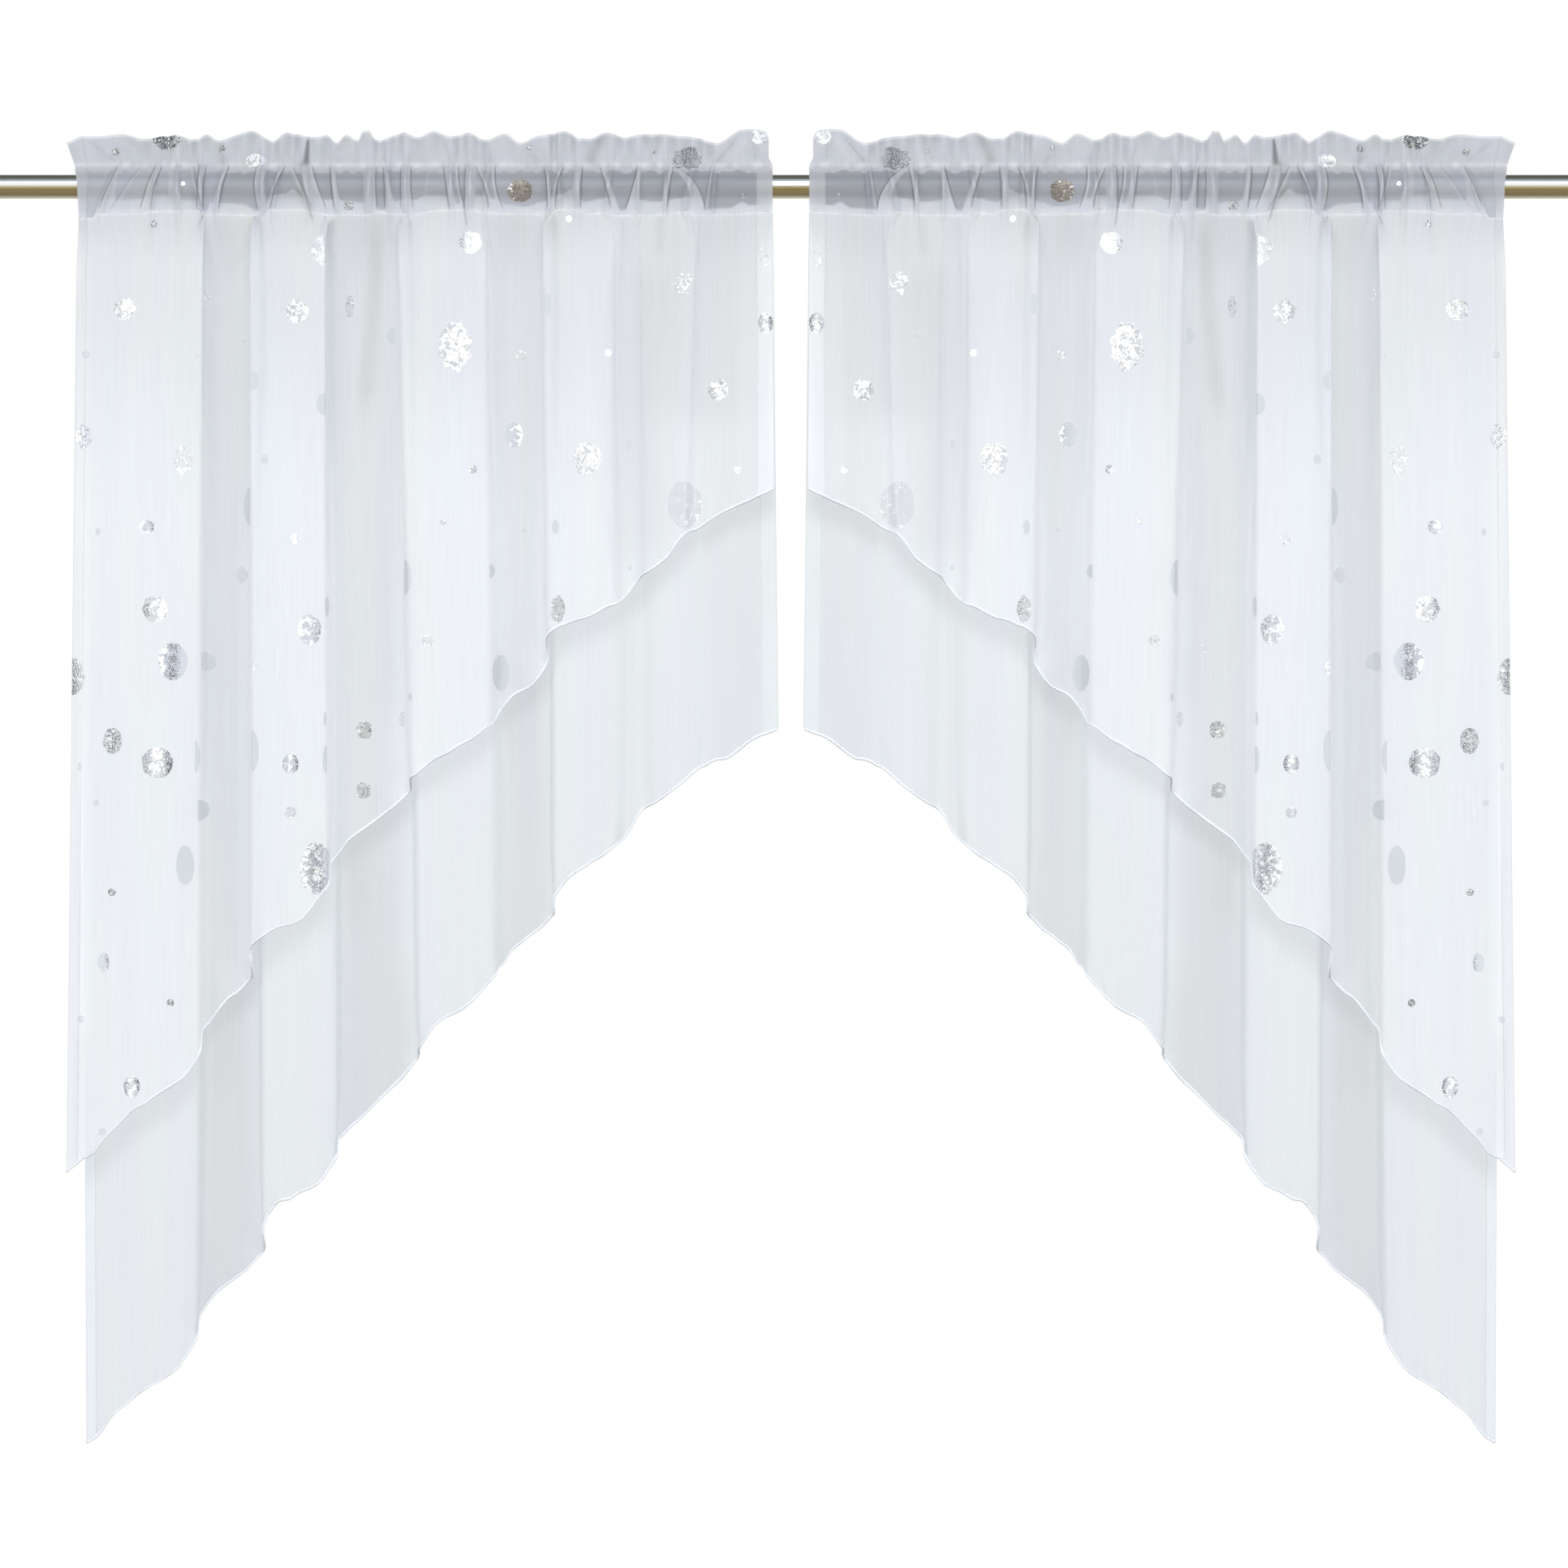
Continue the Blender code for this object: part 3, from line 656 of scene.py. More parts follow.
def pleat_marks(column, point):
    """How pale the pleats make a point of the cloth, how dark the painted shade of their creases and how
    light the painted highlight of their edges.
    """
    share = (PLEAT_TOP - point.z / MM) / (PLEAT_TOP - PLEAT_FOOT)
    fade = ease(1 + share / PLEAT_FADE_TOP) * ease((PLEAT_END - share) / PLEAT_FADE_FOOT)
    pale = dark = light = 0.0
    for pleat in column.pleats:
        middle = between(pleat.top, pleat.foot, share) + pleat.bow * 4 * share * (1 - share)
        half = pleat.wide / 2 * (1 + pleat.flare * max(share, 0.0) ** 2)
        away = point.x / MM - middle
        pale = max(pale, pleat.pale * (1 - ease((abs(away) - half) / PALE_EDGE + 0.5)))
        for side in (-1, 1):
            if pleat.lines in (side, 2):
                beyond = away * side - half
                dark = max(dark, pleat.pale * bump((beyond - CREASE_OUT) / CREASE_HALF))
                light = max(light, pleat.pale * bump((beyond + LIGHT_IN) / LIGHT_HALF))
    return pale, dark * fade, light * fade


def stroked(dye, point):
    """The dye with the painted soft shades and lights of single creases."""
    for stroke in STROKES:
        share = (stroke.top_height - point.z / MM) / (stroke.top_height - stroke.foot_height)
        if 0 < share < 1:
            middle = between(stroke.top_at, stroke.foot_at, share)
            half = stroke.half * between(1, stroke.spread, share)
            ends = ease(share / STROKE_FADE) * ease((1 - share) / STROKE_FADE)
            strength = bump((point.x / MM - middle) / half) * ends
            dye = shaded(dye, between(1, stroke.shade, strength))
    return dye


def body_finish(layer, column, point, drop):
    # Painted shade: darker in the recesses and near the seam, lighter on the cloth that hangs nearest the
    # front
    forward = forwardness(layer, column, drop)
    dye = blended(layer.far_dye, layer.near_dye, ease(forward))
    top_shade = between(FAR_TOP_SHADE, TOP_SHADE, forward)
    dye = shaded(dye, between(top_shade, 1, ease(drop / TOP_SHADE_DROP)))
    # Painted light inside each recess beside its fold, and on cloth that turns away
    reach = EDGE_REACH * between(EDGE_REACH_TOP, 1, ease(drop / EDGE_REACH_DROP))
    edge_light = EDGE_LIGHT[layer.name] * column.deep * bump(column.inside / reach)
    dye = shaded(dye, 1 + edge_light * between(EDGE_LIGHT_TOP, 1, ease(drop / FOLD_DROP)))
    turn_light = TURN_LIGHT * column.turned * between(1, TURN_LIGHT_LOW, opening(drop))
    dye = shaded(dye, 1 + turn_light * ease(drop / FOLD_DROP))
    from_edge = min(column.at, CURTAIN_WIDTH - column.at)
    dye = shaded(dye, 1 - RIM_SHADE * max(0.0, 1 - from_edge / RIM))
    density = BODY_DENSITY
    doubled = hem_shade(layer, column)
    if doubled:
        dye = shaded(dye, doubled)
        density = HEM_DENSITY
    # Where the front panel hangs alone beyond the back one, its weave is set closer and painted shade
    # darkens it
    if layer is FRONT:
        overhang = (BACK_FOLDS[0].drift - FRONT_FOLDS[0].drift) * drop
        alone = ease(overhang - column.at / MM + OVERHANG_EDGE) if overhang > 1 else 0.0
        dye = shaded(dye, between(1, OVERHANG_SHADE, alone))
        density = between(density, HEM_DENSITY, alone)
    # Painted shade just under the seam
    dye = shaded(dye, 1 - UNDER_SEAM_SHADE * (1 - ease(drop / UNDER_SEAM_DROP)))
    # The seam's pale line, on denser cloth: a painted highlight on its puckers
    seam = bump(drop / LINE_REACH) * between(LINE_LEAST, LINE_MOST, puckering(column, LINE_PUCKER))
    dye = blended(dye, SEAM_HIGHLIGHT, seam)
    density = between(density, SEAM_DENSITY, seam)
    return tinted(stroked(dye, point), layer, column, -drop), density


def pocket_finish(layer, column, point, height):
    pale, dark, light = pleat_marks(column, point)
    doubled = hem_shade(layer, column)
    head = BAND_HEAD - BAND_HEAD_PUCKER * puckering(column, LINE_PUCKER)
    # The cloth that lies on the rod gets painted shade against the dark rod, lighter at its foot; pleats
    # that stand off it stay pale
    lying = ease((head - height) / BAND_EDGE) * ease((height - column.foot) / BAND_EDGE) * (1 - pale)
    if doubled:
        lying *= BAND_IN_HEM
    high = ease(OPEN_RATE * (height - column.foot) / (TOP_SEAM - column.foot))
    low = ease(0.5 - height / ROD_DIAMETER)
    tone = (1 + BAND_LOW_LIGHT * low + patchy(GRAIN, point.x, height)) * waved(BAND_TONE, column.at / MM)
    open_dye = blended(OPEN_DYE, CREST_DYE_AND_SHADE, high)
    dye = blended(open_dye, shaded(BAND_SHADE, tone), lying * BAND_SHOWN[layer.name])
    above = bump((height - TOP_SEAM) / TOP_PUCKER_REACH) * puckering(column, TOP_PUCKER)
    below = bump((height - BOTTOM_SEAM) / BOTTOM_PUCKER_REACH) * puckering(column, BOTTOM_PUCKER)
    pucker_light = PUCKER_LIGHT * max(above, below * (1 - COVERED * lying))
    # Painted highlights on the pleats' edges and the seams' puckers, and painted shade in the pleats'
    # creases
    dye = blended(dye, SEAM_HIGHLIGHT, max(PLEAT_LIGHT * light, pucker_light))
    dye = shaded(dye, 1 - PLEAT_SHADE * dark)
    density = HEM_POCKET_DENSITY if doubled else POCKET_DENSITY
    return tinted(stroked(dye, point), layer, column, height), density


def header_finish(layer, column, point, share):
    # Painted shade in the header's valleys, where the ruffle goes back, blended half and half with random
    # clouds
    cloud = ease(0.5 + patchy(VALLEYS, point.x, point.z, layer.facing))
    valley = between(ease(0.5 + column.ruffle / RUFFLE_TONE), cloud, 0.5)
    dye = blended(CREST_DYE_AND_SHADE, VALLEY_DYE_AND_SHADE, valley)
    # A painted highlight on the puckers along the top seam
    pucker = bump(share / HEADER_PUCKER_SHARE) * puckering(column, TOP_PUCKER)
    dye = blended(dye, SEAM_HIGHLIGHT, PUCKER_LIGHT * pucker)
    return tinted(stroked(dye, point), layer, column, share), HEADER_DENSITY


# Rows and columns of the sheets

def column_places(layer):
    """Places across the curtain: even ones, and close ones at each fold and at the side hems."""
    count = int(WIDTH_MM / COLUMN_STEP)
    places = [WIDTH_MM * step / count for step in range(count + 1)]
    for fold in layer.folds[1:]:
        places += [fold.at + fold.soft * step for step in FOLD_STEPS]
    for edge in (OUTER_HEM, WIDTH_MM - INNER_HEM):
        places += [edge - LEAST_COLUMN, edge + LEAST_COLUMN]
    places += [RIM / MM, WIDTH_MM - RIM / MM]
    kept = [0.0]
    for place in sorted(places):
        if kept[-1] + LEAST_COLUMN < place < WIDTH_MM - LEAST_COLUMN:
            kept.append(place)
    return kept + [WIDTH_MM]


def finer_places(places, gap):
    """The same places with even ones between them, and the numbers of the first ones among them."""
    finer = []
    numbers = []
    for before, after in zip(places, places[1:]):
        numbers.append(len(finer))
        parts = math.ceil((after - before) / gap)
        finer += [before + (after - before) * part / parts for part in range(parts)]
    numbers.append(len(finer))
    return finer + [places[-1]], numbers


def header_entry(layer, column, share):
    point = header_point(layer, column, share)
    flat = between(TOP_SEAM, column.edge, share)
    return (point, *header_finish(layer, column, point, share), flat)


def pocket_entry(layer, column, height):
    point = pocket_point(layer, column, height)
    return (point, *pocket_finish(layer, column, point, height), height)


def body_row(layer, columns, lengths, place):
    """One row of the hanging cloth. place gives its drop for the hem's drop there."""
    row = []
    for column in columns:
        hem = hem_drop(layer, lengths, column)
        drop = place(hem)
        point = body_point(layer, column, drop, hem)
        row.append((point, *body_finish(layer, column, point, drop), BOTTOM_SEAM - drop))
    return row


def fine_rows(layer, columns, lengths):
    """Rows of (point, dye, density, height in the flat cloth), from the header's edge to the folds."""
    shares = [1 - step / HEADER_ROWS for step in range(HEADER_ROWS)]
    heights = [between(TOP_SEAM, BOTTOM_SEAM, step / POCKET_ROWS) for step in range(POCKET_ROWS + 1)]
    drops = [FOLD_DROP * ((step + 1) / GATHER_ROWS) ** ROW_CROWDING for step in range(GATHER_ROWS)]
    rows = [[header_entry(layer, column, share) for column in columns] for share in shares]
    rows += [[pocket_entry(layer, column, height) for column in columns] for height in heights]
    return rows + [body_row(layer, columns, lengths, lambda hem: drop) for drop in drops]


def wide_rows(layer, columns, lengths):
    """The rows below the fine ones, down to the hem."""
    longest = max(hem_drop(layer, lengths, column) for column in columns)
    count = int((longest - FOLD_DROP) / BODY_ROW)
    shares = [(step + 1) / count for step in range(count)]
    rows = [
        body_row(layer, columns, lengths, lambda hem: between(FOLD_DROP, hem - HEM_REACH, share))
        for share in shares
    ]
    shares = [(step + 1) / HEM_ROWS for step in range(HEM_ROWS)]
    return rows + [
        body_row(layer, columns, lengths, lambda hem: hem - HEM_REACH * (1 - share)) for share in shares
    ]


# Meshes

def in_place(side, point):
    """A point of the curtain's own frame in the room: side is -1 for the left curtain, 1 for the right."""
    return (side * (BETWEEN_CURTAINS / 2 + CURTAIN_WIDTH - point.x), point.y, point.z)


def new_piece(name, places, faces, material):
    data = bpy.data.meshes.new(name)
    data.from_pydata(places, [], faces)
    data.shade_smooth()
    piece = bpy.data.objects.new(name, data)
    bpy.context.scene.collection.objects.link(piece)
    data.materials.append(material)
    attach(piece, "root")
    return piece


def set_numbers(data, name, values):
    data.attributes.new(name, "FLOAT", "POINT").data.foreach_set("value", values)


def set_colours(data, name, colours):
    values = [part for colour in colours for part in (*colour, 1.0)]
    data.attributes.new(name, "FLOAT_COLOR", "POINT").data.foreach_set("color", values)


def set_flat_places(data, flats):
    """A UV map of each point's place in the flat cloth, in metres."""
    layer = data.uv_layers.new(name="flat_cloth")
    corners = [0] * len(data.loops)
    data.loops.foreach_get("vertex_index", corners)
    layer.data.foreach_set("uv", [part for corner in corners for part in flats[corner]])


def grid_faces(rows, columns, start=0):
    faces = []
    for row in range(rows - 1):
        for column in range(columns - 1):
            corner = start + row * columns + column
            faces.append((corner, corner + columns, corner + columns + 1, corner + 1))
    return faces


def joining_faces(numbers, last_row, next_row):
    """Faces from the last fine row to the first wide one, whose corners stand at the given numbers."""
    faces = []
    for index, (first, last) in enumerate(zip(numbers, numbers[1:])):
        top = [last_row + number for number in range(last, first, -1)]
        faces.append((last_row + first, next_row + index, next_row + index + 1, *top))
    return faces


def hem_line(sheet):
    """The lowest height of a panel's hem at each millimetre across, as it shows."""
    lowest = {}
    points = [entry[0] for entry in sheet.wide[-1]]
    for ends in zip(points, points[1:]):
        first, last = sorted(ends, key=lambda point: point.x)
        for place in range(math.ceil(first.x / MM), math.floor(last.x / MM) + 1):
            share = (place * MM - first.x) / max(last.x - first.x, LEAST_RUN)
            lowest[place] = min(between(first.z, last.z, share), lowest.get(place, 0.0))
    return lowest


def under_hem(entry, line):
    """The entry with a painted soft shadow of the front hem that hangs over it."""
    point, dye, density, flat = entry
    height = line.get(round(point.x / MM))
    if height is None:
        return entry
    shade = bump(((point.z - height) / MM + SHADOW_DROP) / SHADOW_REACH)
    return point, shaded(dye, 1 - HEM_SHADOW * shade), density, flat


# One layer's panel: its fine rows and columns, its wide ones, and the numbers of the wide columns among the
# fine ones. lengths: the cloth's own length round its folds.
Sheet = namedtuple("Sheet", "layer lengths columns fine wide_columns wide numbers")


def read_sheet(layer):
    lengths = cloth_lengths(layer)
    finer, numbers = finer_places(column_places(layer), FINE_COLUMN[layer.name])
    columns = [read_column(layer, lengths, place) for place in finer]
    wide_columns = [columns[number] for number in numbers]
    fine = fine_rows(layer, columns, lengths)
    wide = wide_rows(layer, wide_columns, lengths)
    return Sheet(layer, lengths, columns, fine, wide_columns, wide, numbers)


def add_panel(side_name, side, sheet, material):
    layer = sheet.layer
    entries = [(column, entry) for row in sheet.fine for column, entry in zip(sheet.columns, row)]
    next_row = len(entries)
    entries += [(column, entry) for row in sheet.wide for column, entry in zip(sheet.wide_columns, row)]
    faces = grid_faces(len(sheet.fine), len(sheet.columns))
    faces += joining_faces(sheet.numbers, next_row - len(sheet.columns), next_row)
    faces += grid_faces(len(sheet.wide), len(sheet.wide_columns), next_row)
    if side == layer.facing:
        faces = [face[::-1] for face in faces]
    places = [in_place(side, entry[0]) for column, entry in entries]
    panel = new_piece(f"{side_name}_{layer.name}_voile", places, faces, material)
    # The cloth's colour with its painted shades and highlights
    set_colours(panel.data, "dye", [entry[1] for column, entry in entries])
    set_numbers(panel.data, "thickness_of_weave", [entry[2] for column, entry in entries])
    set_flat_places(panel.data, [(column.length, entry[3]) for column, entry in entries])
    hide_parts(f"{side_name}_{layer.name}_panel")
    return panel


def tube(path, radii, sides, start=0):
    """Places and faces of a round tube along a list of points, with its radius at each."""
    places = []
    for index, point in enumerate(path):
        along = (path[min(index + 1, len(path) - 1)] - path[max(index - 1, 0)]).normalized()
        across = along.cross(Vector((0, 1, 0)))
        if across.length < LEAST_CROSS:
            across = along.cross(Vector((0, 0, 1)))
        across.normalize()
        other = along.cross(across)
        for step in range(sides):
            angle = 2 * math.pi * step / sides
            places.append(point + (across * math.cos(angle) + other * math.sin(angle)) * radii[index])
    faces = []
    for ring in range(len(path) - 1):
        for step in range(sides):
            first = start + ring * sides + step
            second = start + ring * sides + (step + 1) % sides
            faces.append((first, second, second + sides, first + sides))
    last = start + (len(path) - 1) * sides
    faces.append(tuple(range(start + sides - 1, start - 1, -1)))
    faces.append(tuple(range(last, last + sides)))
    return places, faces


def even_path(points, gap):
    """The same line with points an even gap apart."""
    path = [points[0].copy()]
    left = gap
    for before, after in zip(points, points[1:]):
        span = (after - before).length
        done = 0.0
        while span > 0 and span - done >= left:
            done += left
            path.append(before + (after - before) * (done / span))
            left = gap
        left -= span - done
    return path


def add_rolled_hem(side_name, side, sheet, material):
    path = even_path([Vector(in_place(side, entry[0])) for entry in sheet.wide[-1]], ROLL_STEP)
    radii = []
    for index, point in enumerate(path):
        thickness = noise.noise(Vector((side * point.x / ROLL_LENGTH, ROLL_SEED, sheet.layer.facing)))
        radii.append(ROLL_RADIUS * (1 + ROLL_UNEVENNESS * thickness))
        point.z += ROLL_WOBBLE * math.sin(index * ROLL_TURN)
        point.y += ROLL_WOBBLE * math.cos(index * ROLL_TURN)
    places, faces = tube(path, radii, ROLL_SIDES)
    hem = new_piece(f"{side_name}_{sheet.layer.name}_rolled_hem", places, faces, material)
    return hem


def stitch_lines(sheet):
    """The lines of sewing on one panel: both seams, and the side hems."""
    lines = [[entry[0] for entry in sheet.fine[row]] for row in (HEADER_ROWS, HEADER_ROWS + POCKET_ROWS)]
    for edge in (OUTER_HEM, WIDTH_MM - INNER_HEM):
        line = []
        for rows, columns in ((sheet.fine, sheet.columns), (sheet.wide, sheet.wide_columns)):
            nearest = min(range(len(columns)), key=lambda index: abs(columns[index].at / MM - edge))
            line += [row[nearest][0] for row in rows]
        lines.append(line)
    return lines


def add_stitches(side_name, side, sheet, material):
    """Small thread stitches, each a short bowed tube that stands just off the cloth."""
    places = []
    faces = []
    count = len(STITCH_BOW)
    off = Vector((0, sheet.layer.facing * STITCH_LIFT, 0))
    for line in stitch_lines(sheet):
        path = even_path([Vector(in_place(side, point)) for point in line], (STITCH + STITCH_GAP) / count)
        for first in range(0, len(path) - count, count):
            ends = path[first : first + count]
            bowed = [point + off * share for point, share in zip(ends, STITCH_BOW)]
            made, joined = tube(bowed, [THREAD_RADIUS] * count, STITCH_SIDES, len(places))
            places += made
            faces += joined
    stitches = new_piece(f"{side_name}_{sheet.layer.name}_stitching", places, faces, material)
    return stitches


# The print of foil dots on the front panels. Its sizes are in millimetres, but for those that are times MM.

# across and height: the dot's middle in millimetres, as the curtain hangs. wide and tall: its size.
# look: how the crumpled foil takes the light, in painted highlights and dark reflections. cut: the side on
# which a fold hides half of the dot, -1 for the outer side and 1 for the inner one.
Dot = namedtuple("Dot", "across height wide tall look cut", defaults=(0,))
DOTS = [Dot(*row) for row in (
    (30.7, 28.3, 6, 6, "tiny"), (72, 42, 24, 22, "black"), (118, 31, 6, 6, "tiny"),
    (145.3, 21.5, 16, 11, "mixed"), (370, 32.3, 4, 4, "tiny"), (500, 23, 24, 17, "crumpled"),
    (472.7, 29, 3, 4.5, "tiny"), (559.5, 41.5, 15, 13, "mixed"), (86.7, 1.7, 4, 4, "glint"),
    (222, -14.3, 9, 7, "dark"), (362.7, -3.7, 20, 17.3, "brown"), (546, -7.7, 4, 4, "grey"),
    (62, -31.7, 5, 6, "tiny"), (402.7, -28.3, 5.3, 5.3, "glint"), (196.5, -52.3, 12, 25, "torn", 1),
    (322, -46.3, 18, 18, "left"), (562.7, -57.7, 9.3, 17.3, "specks"), (496.7, -79.7, 16.7, 20, "specks"),
    (104.7, -87.7, 6.7, 9.3, "specks"), (386, -97, 4.7, 17.3, "flat"), (222, -97.7, 6.7, 18.7, "scratched"),
    (39.3, -101, 18, 18, "bright"), (180.7, -103.7, 18.7, 18.7, "bright"),
    (564, -112.3, 12, 17.3, "sides", 0), (256, -121.7, 6.7, 13.3, "flat", 1),
    (481.3, -123, 3.3, 3.3, "faint"), (134, -126.3, 2.7, 2.7, "faint"), (310, -131.7, 28, 37, "broken"),
    (435.3, -137, 6, 6, "glint"), (363.3, -137.7, 9.3, 8, "specks"), (7.3, -138.3, 6.7, 6.7, "faint"),
    (98.7, -139.7, 2, 2, "faint"), (146, -159.7, 6.7, 16, "flat", -1), (525.3, -167, 17.3, 17.3, "bright"),
    (200, -179, 7.3, 18, "flat", 1), (357.3, -203, 14.7, 21.3, "faded"), (5.3, -205.7, 13.3, 20, "mixed"),
    (452, -211.7, 4, 8, "faint"), (418, -223.7, 22.7, 26.7, "broken"), (87.3, -225, 14.7, 24, "specks"),
    (154, -224.3, 6, 8, "faint"), (324, -232.3, 7.3, 7.3, "ring"), (541.3, -232.3, 6, 6, "glint"),
    (497.7, -261, 28, 38, "ghost"), (138, -261.7, 7, 33.3, "flat", 1), (300, -275.7, 5.3, 5.3, "soft"),
    (57.3, -279.7, 12, 11.3, "right"), (392, -279.7, 5.3, 12, "flat"), (365.3, -281.7, 3.3, 3.3, "faint"),
    (17.3, -283.7, 4, 6, "flat"), (179.3, -289.7, 9.3, 9.3, "specks"), (452.7, -312.3, 2.7, 5.3, "faint"),
    (340, -315.7, 4, 12, "flat", -1), (133.3, -318.3, 9.3, 13.3, "faint"),
    (270.7, -321, 6.5, 29, "flat", -1), (204.7, -345, 2.7, 16.7, "flat"), (64, -347, 20, 21.3, "left"),
    (394, -347, 12, 21.3, "grey"), (190.7, -363.7, 18.7, 25.3, "right"), (287.3, -373, 9.3, 9.3, "soft"),
    (244, -377, 6.7, 9.3, "specks"), (78.7, -389.7, 24, 30, "stripe"), (107, -389.7, 11, 16, "faint", -1),
    (145.3, -395, 5.3, 13.3, "specks"), (346.7, -399, 13.3, 30, "flat"), (-3.9, -402.3, 20, 30, "bent"),
    (272.7, -419, 2.7, 6.7, "flat"), (203.3, -437, 2, 12, "flat"), (265.3, -437, 5.3, 13.3, "faint"),
    (234, -445.7, 13.3, 14.7, "grey"), (29.3, -455, 15.3, 21.3, "dark"), (146, -463, 6, 33.3, "flat", -1),
    (98.7, -467.7, 4, 26.7, "flat", -1), (203, -470.3, 3.3, 23.3, "flat", 1),
    (66, -473, 25.3, 25.3, "sides"), (175.3, -473.7, 13.3, 16, "sides"), (2, -476.3, 2.7, 8, "faint"),
    (233.3, -495.7, 12, 13.3, "grey"), (16, -505.7, 5.3, 5.3, "faint"),
    (102.7, -511.7, 7.5, 17.3, "flat", -1), (175.3, -513.7, 9.3, 9.3, "soft"),
    (88.7, -557, 14.7, 32, "flat"), (196, -559, 26.7, 41.3, "mixed"), (28.7, -579, 6, 6, "tiny"),
    (22, -636.3, 9.3, 16, "crescent"), (76.7, -669.7, 6, 6, "tiny"), (3, -683, 6, 6, "faint"),
    (45.3, -738.3, 13.3, 18, "sides"), (21.3, -775, 6, 6, "faint"),
)]

# For each look: the foil's colour, a painted grey reflection where the foil is not metallic; how much of it
# is in dark creases and specks, painted dark reflections; how much catches the light, in painted white
# highlights;
# and how much of the print is left. The last three are each at the outer side, the middle and the inner
# side.
# ragged: how rough its rim is.
Look = namedtuple("Look", "colour creased lit printed ragged")
LOOKS = {
    "bright": Look((0.78, 0.8, 0.82), (0.44, 0.26, 0.2), (0.5, 0.72, 0.8), (0.35, 0.9, 0.9), 0.22),
    "broken": Look((0.78, 0.8, 0.84), (0.3, 0.22, 0.18), (0.62, 0.82, 0.88), (0.25, 0.35, 0.3), 0.22),
    "glint": Look((0.88, 0.88, 0.9), (0.15, 0.1, 0.15), (1, 1, 1), (1, 1, 1), 0.1),
    "mixed": Look((0.7, 0.72, 0.77), (0.25, 0.5, 0.2), (0.85, 0.55, 0.15), (0.3, 0.9, 0.95), 0.1),
    "dark": Look((0.72, 0.74, 0.76), (0.56, 0.6, 0.6), (0.1, 0.12, 0.1), (1, 1, 1), 0.06),
    "black": Look((0.66, 0.68, 0.72), (0.76, 0.76, 0.76), (0.58, 0.5, 0.66), (1, 1, 1), 0.12),
    "tiny": Look((0.66, 0.67, 0.69), (0.68, 0.58, 0.68), (0.2, 0.35, 0.2), (1, 1, 1), 0.1),
    "crumpled": Look((0.52, 0.53, 0.57), (0.52, 0.66, 0.5), (0, 0, 0), (0.1, 0.85, 0.12), 0.38),
    "torn": Look((0.8, 0.82, 0.84), (0.4, 0.3, 0.45), (0.35, 0.6, 0.7), (0.1, 0.3, 0.6), 0.22),
    "scratched": Look((0.58, 0.6, 0.63), (0.46, 0.38, 0.46), (0.2, 0.3, 0.2), (0.1, 0.1, 0.1), 0.12),
    "bent": Look((0.7, 0.72, 0.75), (0.5, 0.66, 0.45), (0.2, 0.2, 0.45), (1, 1, 0.9), 0.04),
    "grey": Look((0.64, 0.66, 0.63), (0.42, 0.45, 0.52), (0.25, 0.3, 0.2), (0.35, 0.45, 0.4), 0.16),
    "brown": Look((0.31, 0.28, 0.24), (0.3, 0.45, 0.6), (0.25, 0.2, 0.05), (1, 1, 1), 0.04),
    "flat": Look((0.645, 0.675, 0.705), (0, 0, 0), (0, 0, 0), (0.9, 0.9, 0.9), 0.03),
    "ghost": Look((0.7, 0.715, 0.76), (0, 0.05, 0.12), (0, 0.22, 0.32), (0.32, 0.34, 0.22), 0.05),
    "faint": Look((0.71, 0.725, 0.76), (0.05, 0.05, 0.05), (0, 0, 0), (0.5, 0.5, 0.4), 0.05),
    "specks": Look((0.8, 0.82, 0.87), (0.25, 0.2, 0.25), (0.45, 0.52, 0.45), (0, 0, 0), 0.1),
    "faded": Look((0.7, 0.72, 0.77), (0, 0.05, 0.35), (0, 0.25, 0.85), (0.45, 0.45, 0.3), 0.05),
    "crescent": Look((0.7, 0.73, 0.77), (0, 0, 0.6), (0, 0, 0.35), (0.5, 0.6, 0.9), 0.05),
    "soft": Look((0.74, 0.76, 0.79), (0.3, 0.25, 0.3), (0.5, 0.5, 0.4), (0.4, 0.3, 0.5), 0.1),
    "ring": Look((0.72, 0.74, 0.77), (0.2, 0.3, 0.58), (0.7, 0.5, 0.2), (0.6, 0.7, 0.9), 0.08),
    "stripe": Look((0.68, 0.7, 0.76), (0, 0.6, 0), (0.75, 0.1, 0), (0.55, 1, 0.85), 0.03),
    "sides": Look((0.72, 0.74, 0.78), (0.55, 0.15, 0.7), (0.15, 0.7, 0.1), (0.6, 0.3, 0.95), 0.05),
    "left": Look((0.74, 0.76, 0.8), (0.62, 0.24, 0.1), (0.2, 0.75, 0.95), (0.4, 0.3, 0.5), 0.12),
    "right": Look((0.78, 0.8, 0.84), (0.05, 0.2, 0.6), (0.85, 0.6, 0.2), (0.3, 0.5, 0.9), 0.08),
}
# A look's side values take over from its middle ones between these shares of the dot's half width
PART_FROM = 0.125
PART_OVER = 0.625
# A dot's mesh. LOBES and TEETH: how coarse the two kinds of unevenness of its rim are.
DOT_LIFT = 0.3 * MM
DOT_RING = 1.0 * MM
DOT_SIDES = 44
DOT_CRINKLE = 0.16 * MM
DOT_CRINKLE_SIZE = 3
DOT_SEED = 0.37
LEAST_FACE = 0.02 * MM
LOBES = 2.5
TEETH = 6
TEETH_SHARE = 0.7
# The search for the strip of cloth that a dot shows on: how far, in which steps and how near to its middle
DOT_SEARCH = 26
DOT_STEP = 0.5
DOT_NEAR = 0.75
LEAST_STEP = 0.02


def part_way(parts, sideways):
    """A value at a place from -1 to 1 across a dot, from those of its outer side, middle and inner side."""
    outer, middle, inner = parts
    share = ease((abs(sideways) - PART_FROM) / PART_OVER)
    return between(middle, inner if sideways > 0 else outer, share)


